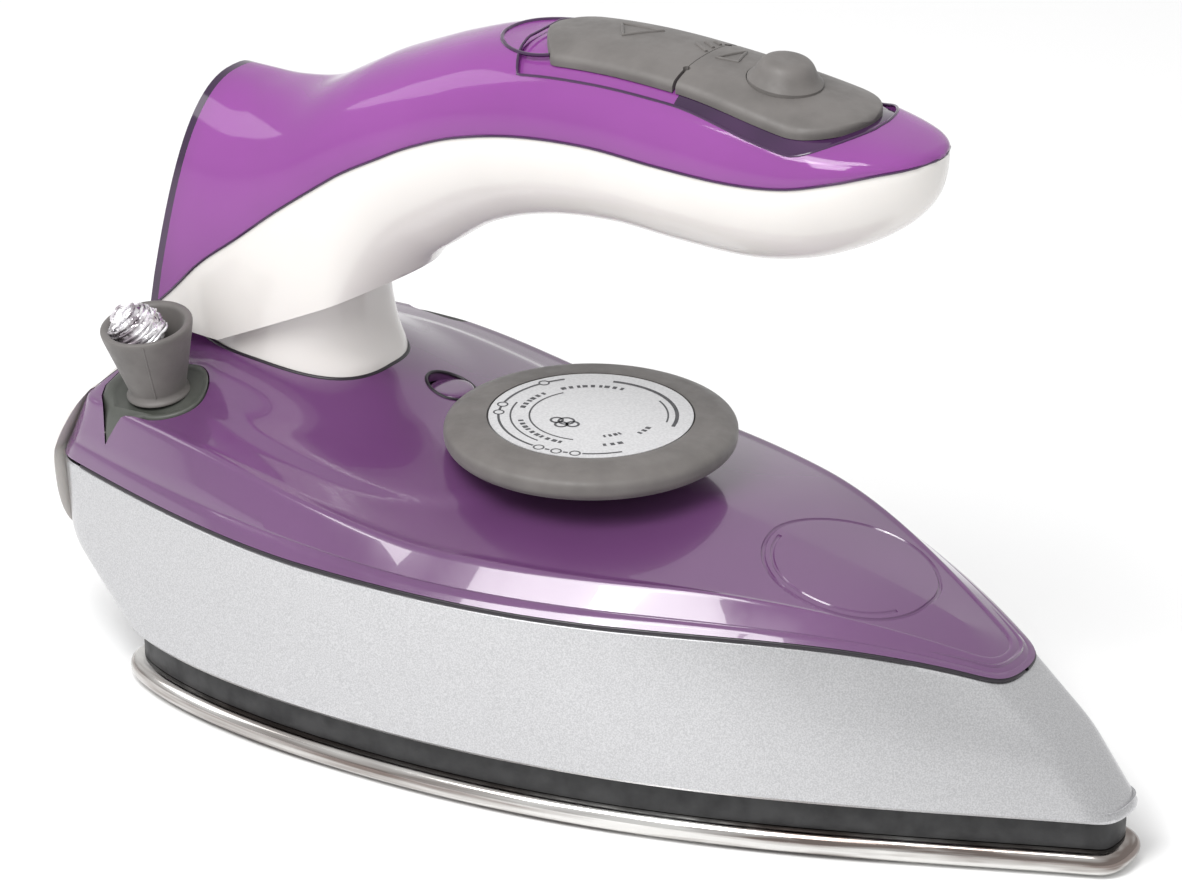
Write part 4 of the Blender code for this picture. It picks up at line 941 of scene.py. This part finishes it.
def joint_plane(x):
    """Height of the slanted joint between pedestal and handle."""
    return JOINT[1] + (x - JOINT[0]) * JOINT[2]


def above_joint(lift):
    line = [(x, joint_plane(x) + lift) for x in (-120.0, 0.0)]
    return side_prism("above_joint", line + [(0.0, 140.0), (-120.0, 140.0)], 40.0)


def hinge_rod(name, start, end, radius):
    """Hidden cutter along the fold axis, from one place across the iron to another."""
    return rod(name, (HINGE[0], start, HINGE[1]), (HINGE[0], end, HINGE[1]), radius)


def make_pedestal(mats):
    half_x, half_y = PEDESTAL_HALF
    rows = []
    for z, share in ((44.0, 1.0), (55.6, 1.0), (56.8, 0.86), (58.2, 0.66), (60.0, 0.45), (62.0, 0.28),
                     (64.5, 0.12),
                     (68.0, 0.0), (78.0, 0.0)):
        middle = PEDESTAL_X + (FOOT[0] - PEDESTAL_X) * share
        size = (half_x + (FOOT[1] - half_x) * share, half_y + (FOOT[2] - half_y) * share)
        rows.append([(x, y, z) for x, y in ellipse((middle, 0.0), *size, 120, 2.5)])
    pedestal = loft("visual_handle_pedestal", rows, caps=True)
    carve(pedestal, above_joint(-0.35))
    spigot = prism("spigot", ellipse((PEDESTAL_X, 0.0), *SPIGOT_HALF, 72, 2.5), 50.0, 78.0)
    carve(spigot, above_joint(2.4))
    carve(pedestal, spigot, "UNION")
    carve(pedestal, hinge_rod("knuckle", -8.6, 8.6, 6.4), "UNION")
    carve(pedestal, hinge_rod("bore", -20.0, 20.0, 2.85))
    place(pedestal, mats["cream"], "base", ["handle_pedestal"], 30.0)
    ring = ellipse((FOOT[0], 0.0), FOOT[1] + 0.1, FOOT[2] + 0.1, 96, 2.5)
    seal = bead("visual_pedestal_gasket", [(x, y, top_surface_z(x, y) - 0.1) for x, y in ring], 0.38)
    place(seal, mats["line"], "base", ["pedestal_gasket"], 60.0)


def make_entry_plate(mats):
    outline = entry_outline()
    middle = (sum(p[0] for p in outline) / len(outline), sum(p[1] for p in outline) / len(outline))
    rows = []
    for share, offset in ((1.0, -2.2), (1.0, 0.0), (0.985, 0.28), (0.95, 0.42), (0.88, 0.42), (0.84, 0.2),
                          (0.8, 0.05),
                          (0.6, 0.05), (0.3, 0.05), (0.02, 0.05)):
        row = []
        for x, y in outline:
            px, py = middle[0] + (x - middle[0]) * share, middle[1] + (y - middle[1]) * share
            row.append((px, py, top_surface_z(px, py) + offset))
        rows.append(row)
    plate = loft("visual_cord_entry_plate", rows, caps=True)
    place(plate, mats["entry"], "base", ["cord_entry_plate"], 40.0)


def guard_frame():
    """Turn of the cord guard and the middle of its foot."""
    turn = Matrix.Rotation(math.radians(GUARD_TILT[0]), 3, "X")
    turn = turn @ Matrix.Rotation(math.radians(-GUARD_TILT[1]), 3, "Y")
    return turn, Vector((GUARD[0], GUARD[1], top_surface_z(*GUARD)))


def make_guard(mats):
    turn, foot = guard_frame()
    profile = [(3.2, 2.4), (6.55, 13.3), (7.1, 13.75), (7.75, 13.8), (8.0, 13.4), (7.85, 12.4), (4.95, 1.5),
               (5.2, 0.9), (5.6, 0.6), (5.6, 0.1), (3.2, 0.0), (3.2, 2.4)]
    guard = turned("visual_cord_guard", rounded(profile, 0.35, 3)[:-1], foot, 96, GUARD_TILT)
    seam = []
    angle = math.radians(-57.0)
    for i in range(13):
        radius = 4.97 + (7.95 - 4.97) * i / 12
        local = Vector((radius * math.cos(angle), radius * math.sin(angle), 1.6 + 11.6 * i / 12))
        seam.append(tuple(turn @ local + foot))
    place(guard, mats["grey"], "base", ["cord_guard"], 38.0)
    place(bead("guard_mould_seam", seam, 0.17, closed=False), mats["grey"], "base")


def make_sleeve(mats):
    """Bright bundle: a creased core wound with fine strands, leaning to one side of the guard's mouth."""
    turn, foot = guard_frame()
    lean = turn @ Matrix.Rotation(math.radians(-24.0), 3, "Y") @ Matrix.Rotation(math.radians(14.0), 3, "X")
    middle = turn @ Vector((-1.5, -0.5, 11.6)) + foot

    def bundle(unit, swell):
        narrow = 0.72 if unit.z < -0.5 else 1.0
        return lean @ Vector((unit.x * 4.6 * narrow, unit.y * 4.3 * narrow, unit.z * 5.3)) * swell + middle

    def crumple(unit):
        crease = noise.noise(unit * 2.6 + Vector((3.1, 0.4, 7.7)))
        ridge = 1.0 - abs(noise.noise(unit * 4.4 + Vector((9.2, 5.5, 1.3)))) * 2.0
        return 1.0 + 0.10 * crease + 0.07 * ridge

    bm = bmesh.new()
    bmesh.ops.create_icosphere(bm, subdivisions=5, radius=1.0)
    for vert in bm.verts:
        unit = vert.co.copy()
        vert.co = bundle(unit, crumple(unit) * 0.95) * MM
    sack = finish_mesh(bm, "visual_cord_sleeve")
    place(sack, mats["foil"], "base", ["cord_sleeve"], 60.0)
    strands = []
    for k in range(11):
        height = -0.30 + 0.118 * k
        tilt = 0.16 * math.sin(2.3 * k) + 0.10
        points = []
        for i in range(48):
            a = 2 * math.pi * i / 48
            z = min(max(height + tilt * math.cos(a + 0.7 * k), -0.97), 0.97)
            flat = math.sqrt(1.0 - z * z)
            unit = Vector((flat * math.cos(a), flat * math.sin(a), z))
            points.append(tuple(bundle(unit, crumple(unit) + 0.02)))
        strands.append(bead("strand", points, 0.27, sides=2))
    place(join(strands, "cord_sleeve_strands"), mats["foil"], "base")


def make_release(mats):
    x, half, low, high = RELEASE
    y, half_width = RELEASE_SIDE
    outline = ellipse((x, y), half - 0.5, half_width, 64, 3.6)
    rows = []
    for share, drop in ((1.0, high - low), (1.0, 0.6), (0.97, 0.15), (0.9, 0.0), (0.5, 0.0), (0.05, 0.0)):
        rows.append([(x + (px - x) * share, y + (py - y) * share, high - drop) for px, py in outline])
    pad = loft("visual_fold_release_button", rows, caps=True)
    place(pad, mats["rubber"], "release", ["fold_release_button"], 35.0)


# --- handle -------------------------------------------------------------------------------
def station_at(x):
    """Handle section at x, smoothly between the stations."""
    table = HANDLE_STATIONS
    k = max(i for i in range(len(table) - 1) if table[i][0] <= x + 1e-9)
    first, second = table[k], table[k + 1]
    before = table[k - 1] if k else first
    after = table[k + 2] if k + 2 < len(table) else second
    span = second[0] - first[0]
    t = (x - first[0]) / span
    values = [x]
    for c in range(1, 5):
        slope_a = (second[c] - before[c]) / (second[0] - before[0])
        slope_b = (after[c] - first[c]) / (after[0] - first[0])
        h = (2 * t ** 3 - 3 * t * t + 1, t ** 3 - 2 * t * t + t, 3 * t * t - 2 * t ** 3, t ** 3 - t * t)
        values.append(h[0] * first[c] + h[1] * span * slope_a + h[2] * second[c] + h[3] * span * slope_b)
    return tuple(values)


def handle_arc(station, upper, inset, edge=0.0):
    """Half section from the right parting edge round to the left one; edge eases its two ends in."""
    x, half, bottom, parting, top = station
    half = half - inset
    reach = (top - parting if upper else parting - bottom) - inset
    power = 2.5 if upper else 2.2 + 1.2 * ease((-38.0 - x) / 14.0)
    points = []
    for i in range(HANDLE_SIDES + 1):
        angle = math.pi * i / HANDLE_SIDES
        c, s = math.cos(angle), math.sin(angle)
        y = -half * math.copysign(abs(c) ** (2 / power), c)
        z = max(reach, 0.4) * abs(s) ** (2 / power) * (1 if upper else -1)
        if edge and i in (0, HANDLE_SIDES):
            y *= 1.0 - edge / max(half, 1.0)
        points.append((x, y, parting + z))
    return points


def handle_shell(name, upper):
    lift = SEAM_HALF if upper else -SEAM_HALF
    first, last = HANDLE_STATIONS[0][0], HANDLE_STATIONS[-1][0]
    rows = []
    for i in range(191):
        x = first + (last - first) * i / 190
        station = station_at(x)
        outer = handle_arc(station, upper, 0.0, 0.25)
        inner = handle_arc(station, upper, min(HANDLE_WALL, station[1] * 0.5))
        if i == 190:
            inner = [(px, py * 0.5, station[3]) for px, py, _ in handle_arc(station, upper, 0.0)]
        rows.append([(px, py, pz + lift) for px, py, pz in outer + list(reversed(inner))])
    return loft(name, rows, caps=True)


def flare_cutter(shift):
    """Hidden cutter of all that lies behind the flare's leaning rear face."""
    lean = [(RIM[0] + shift + RIM[2] * (z - RIM[1]), z) for z in (0.0, 130.0)]
    return side_prism("flare", lean + [(-150.0, 130.0), (-150.0, 0.0)], 60.0)


def tank_height(x, y):
    """Height of the tank's outer surface."""
    arc = handle_arc(station_at(x), True, 0.0)
    for p, q in zip(arc, arc[1:]):
        if p[1] <= y <= q[1]:
            return p[2] + (q[2] - p[2]) * (y - p[1]) / max(q[1] - p[1], 1e-6) + SEAM_HALF
    return arc[0][2]


def panel_half(x, recess=False):
    narrow, wide = REBATE_HALF if recess else PANEL_HALF
    side = narrow + (wide - narrow) * ease((x - PANEL_SPLIT) / 20.0)
    rear = min(max((x - PANEL_REAR + (1.4 if recess else 0.0)) / (3.0 if recess else PANEL_BOW[0]), 0.0),
               1.0)
    front = min(max((PANEL_FRONT + (1.8 if recess else 0.0) - x) / PANEL_BOW[1], 0.0), 1.0)
    return side * rear ** (0.3 if recess else 0.7) * math.sqrt(max(1.0 - (1.0 - front) ** 2, 0.0))


def panel_patch(name, start, end, low, high, recess=False, crisp=(False, False)):
    """Pad over the tank between two places along X; low and high are heights above the tank.

    Its upper edge is rounded, but not at an end marked crisp. A recess is a hidden cutter.
    """
    steps, across = 46, 26
    rows = []
    soft = 0.0 if recess else 0.8
    for i in range(steps + 1):
        x = start + (end - start) * (0.5 - 0.5 * math.cos(math.pi * i / steps))
        half = max(panel_half(x, recess), 0.3)
        lower, upper = [], []
        for k in range(-across, across + 1):
            y = half * math.sin(math.pi * k / across / 2)
            ground = tank_height(x, max(min(y, 15.0), -15.0))
            distance = half - abs(y)
            distance = distance if crisp[0] else min(distance, x - start + 0.001)
            distance = distance if crisp[1] else min(distance, end - x + 0.001)
            drop = 0.0
            if distance < soft:
                drop = soft * (1.0 - math.sqrt(max(1.0 - (1.0 - distance / soft) ** 2, 0.0)))
            lower.append((x, y, ground + low * (1.0 - (0.7 * ease((x - 44.0) / 6.0) if recess else 0.0))))
            upper.append((x, y, ground + max(high - drop, low + 0.05)))
        rows.append(lower + list(reversed(upper)))
    return loft(name, rows, caps=True, hidden=recess)


def scoop_edge(start, end, count, grow=0.0):
    """Points along the oval edge of the finger scoop behind the flap; angles in degrees."""
    points = []
    for i in range(count + 1):
        angle = math.radians(start + (end - start) * i / count)
        x, y = SCOOP[0] + (SCOOP[1] + grow) * math.cos(angle), (SCOOP[2] + grow) * math.sin(angle)
        points.append((x, y, tank_height(x, y)))
    return points


def scoop():
    """Hidden cutter of the finger scoop."""
    rows = []
    for share, depth in ((0.02, 1.2), (0.3, 1.15), (0.55, 1.0), (0.78, 0.72), (0.92, 0.38), (1.0, 0.0),
                         (1.03, -4.0)):
        ring = [(SCOOP[0] + (x - SCOOP[0]) * share, y * share) for x, y,
                _ in scoop_edge(0.0, 360.0, 64)[:-1]]
        rows.append([(x, y, tank_height(x, y) - depth) for x, y in ring])
    return loft("scoop", rows, caps=True, hidden=True)


def make_lower_shell(mats):
    lower = handle_shell("visual_handle_lower_shell", False)
    under = [(-130.0, RIM_BOTTOM), (FLAT_RIM_X, RIM_BOTTOM), (-36.0, joint_plane(-36.0)), (-36.0, 10.0),
             (-130.0, 10.0)]
    carve(lower, side_prism("below_rim", under, 40.0))
    carve(lower, flare_cutter(0.0))
    for side in (1, -1):
        carve(lower, hinge_rod("boss", side * 9.0, side * 14.6, 5.4), "UNION")
    carve(lower, hinge_rod("boss_bore", -13.4, 13.4, 2.85))
    place(lower, mats["cream"], "handle", ["handle_lower_shell"], 34.0)


def make_end_cap(mats):
    rows = []
    for i in range(7):
        station = station_at(-93.0 + 3.0 * i)
        top = handle_arc(station, True, HANDLE_WALL + 0.2)
        under = handle_arc(station, False, HANDLE_WALL + 0.2)
        rows.append(top + list(reversed(under))[1:-1])
    cap = loft("visual_handle_end_cap", rows, caps=True)
    carve(cap, flare_cutter(1.0))
    carve(cap, flare_cutter(3.0), "INTERSECT")
    below = [(-130.0, 0.0), (-60.0, 0.0), (-60.0, RIM_BOTTOM + 0.3), (-130.0, RIM_BOTTOM + 0.3)]
    carve(cap, side_prism("cap_bottom", below, 40.0))
    place(cap, mats["tank"], "handle", ["handle_end_cap"], 30.0)


def make_tank(mats):
    tank = handle_shell("visual_tank_shell", True)
    carve(tank, flare_cutter(0.0))
    edge = link_object("tank_rear_rim", tank.data.copy())
    carve(edge, flare_cutter(1.5), "INTERSECT")
    place(edge, mats["rim"], "handle", (), 30.0)
    carve(tank, flare_cutter(1.5))
    carve(tank, panel_patch("rebate", PANEL_REAR - 1.3, PANEL_FRONT + 1.7, -1.15, 5.0, recess=True))
    carve(tank, scoop())
    carve(tank, drill("fill_hole", FILL_X, 0, 5.0, 112.0, 130.0))
    carve(tank, drill("pump_hole", BUTTON_X, 0, BUTTON_RADIUS + 0.35, 112.0, 130.0))
    place(tank, mats["tank"], "handle", ["tank_shell"], 34.0)


def make_tank_lines(mats):
    """Dark sheet on the recess floor under the button panel, painted shade where the recess lies in shadow,
    and fine dark lines round the recess, the scoop and the tank's lip.
    """
    # a thin dark sheet laid on the floor of the recess: painted shade under the button panel
    recess_shade_sheet = panel_patch("recess_painted_shade_sheet", PANEL_SPLIT + 1.0, PANEL_FRONT + 0.9, -1.12, -0.96, recess=True)
    recess_shade_sheet.hide_render = False
    carve(recess_shade_sheet, drill("shade_sheet_hole", BUTTON_X, 0, BUTTON_RADIUS + 0.4, 110.0, 130.0), solver="MANIFOLD")
    place(recess_shade_sheet, mats["rim"], "handle", (), 30.0)
    border = []
    for i in range(60):
        x = PANEL_REAR - 1.3 + (PANEL_FRONT + 3.0 - PANEL_REAR) * (0.5 - 0.5 * math.cos(math.pi * i / 59))
        y = -max(panel_half(x, True), 0.2)
        border.append((x, y, tank_height(x, y)))
    lip = []
    for i in range(100):
        station = station_at(-85.0 + 145.8 * i / 99)
        lip.append((station[0], -station[1] + 0.14, station[3] + 0.1))
    border, lip = (line + [(x, -y, z) for x, y, z in reversed(line)] for line in (border, lip))
    place(bead("recess_edge_line", border, 0.24), mats["rim"], "handle")
    scoop_line = scoop_edge(75.0, 285.0, 40, 0.1)
    place(bead("scoop_edge_line", scoop_line, 0.34, closed=False), mats["rim"], "handle")
    place(bead("tank_lip_line", lip, 0.22, closed=False), mats["rim"], "handle")


def make_panels(mats):
    """Filling flap and button panel, with a slit from either side between them."""
    flap = panel_patch("visual_fill_flap", PANEL_REAR, PANEL_SPLIT - 0.06, PANEL_UNDER, PANEL_TOP,
                       crisp=(False, True))
    carve(flap, drill("plug", FILL_X, 0, 4.3, 120.4, 124.4), "UNION")
    panel = panel_patch("visual_button_panel", PANEL_SPLIT + 0.06, PANEL_FRONT, PANEL_UNDER, PANEL_TOP,
                        crisp=(True, False))
    carve(panel, drill("button_hole", BUTTON_X, 0, BUTTON_RADIUS + 0.06, 110.0, 130.0))
    near, far = PANEL_SPLIT - 0.3, PANEL_SPLIT + 0.3
    for half in (flap, panel):
        for side in (-1, 1):
            slit = [(near, side * 6.4), (far, side * 6.4), (far, side * 14.0), (near, side * 14.0)]
            carve(half, prism("slit", slit[::side], 110.0, 130.0))
            carve(half, prism("slit_end", ellipse((PANEL_SPLIT, side * 6.3), 0.62, 0.62, 24), 110.0, 130.0))
    place(flap, mats["grey"], "flap", ["fill_flap"], 40.0)
    place(panel, mats["grey"], "handle", ["button_panel"], 40.0)


def make_button(mats):
    profile = [(0.0, 4.55), (3.0, 4.45), (4.2, 3.9), (5.3, 1.7), (BUTTON_RADIUS, 0.85),
               (BUTTON_RADIUS, -0.7), (0.0, -0.7)]
    centre = (BUTTON_X, 0, tank_height(BUTTON_X, 0.0))
    button = turned("visual_steam_button", rounded(profile, 1.1, 6, skip=(4, 5)), centre, 96, (0.0, -7.0))
    place(button, mats["grey"], "button", ["steam_button"], 40.0)


def raised_mark(mats, points, body, name, closed=True):
    """Bead over the panel along straight strokes."""
    ends = points[1:] + points[:1] if closed else points[1:]
    path = [(ax + (bx - ax) * i / 6, ay + (by - ay) * i / 6) for (ax, ay), (bx, by) in zip(points, ends)
            for i in range(6)]
    path += [] if closed else points[-1:]
    path = [(x, y, tank_height(x, y) + PANEL_TOP + 0.02) for x, y in path]
    place(bead(name, path, 0.3, closed), mats["grey"], body)


def make_marks(mats):
    """A triangle on the flap, three bars and a triangle by the button."""
    raised_mark(mats, [(-1.0, 3.4), (6.6, 3.9), (2.4, -1.6)], "flap", "flap_mark_triangle")
    raised_mark(mats, [(19.6, -0.6), (23.0, 0.3), (21.6, 5.4)], "handle", "panel_mark_triangle")
    bars = ([(14.0, 2.2), (17.0, 0.4)], [(14.6, 4.0), (17.0, 2.6)], [(15.4, 5.6), (17.0, 4.8)])
    for i, bar in enumerate(bars):
        raised_mark(mats, bar, "flap", f"panel_mark_bar_{i + 1}", closed=False)


# --- carried-over CAD pieces --------------------------------------------------------------
def dress_cad(mats):
    dressed = {
        "steel": ("heating_element", "steam_chamber_lid", "chamber_screw_1", "chamber_screw_2",
                  "thermostat_blade",
                  "rear_cover_screw_left", "rear_cover_screw_right", "pedestal_screw_left",
                  "pedestal_screw_right",
                  "hinge_pin", "fold_latch_spring", "tank_screw_1", "tank_screw_2", "pump_spring"),
        "brass": ("element_terminal_left", "element_terminal_right", "dripper_valve", "thermostat_nut",
                  "thermostat_spindle"),
        "cast": ("steam_chamber",),
        "black": ("heat_shield",),
        "ceramic": ("thermostat_body", "thermal_fuse"),
        "nylon": ("cord_clamp", "terminal_block", "fold_latch_bar", "pump_piston", "pump_cylinder",
                  "water_tube"),
        "lens": ("pilot_lamp",),
        "cream": ("tank_floor",)}
    for key, names in dressed.items():
        for name in names:
            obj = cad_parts[name]
            for slot in obj.material_slots:
                slot.material = mats[key]


make_camera()
make_studio()
MATERIALS = make_materials()
for make in (make_soleplate, make_apron, make_skirt, make_top_cover, make_gasket, make_rear_cover,
             make_dial, make_lamp, make_pedestal, make_entry_plate, make_guard, make_sleeve,
             make_release, make_lower_shell, make_end_cap, make_tank, make_tank_lines, make_panels,
             make_button, make_marks, dress_cad):
    make(MATERIALS)

bpy.context.view_layer.update()
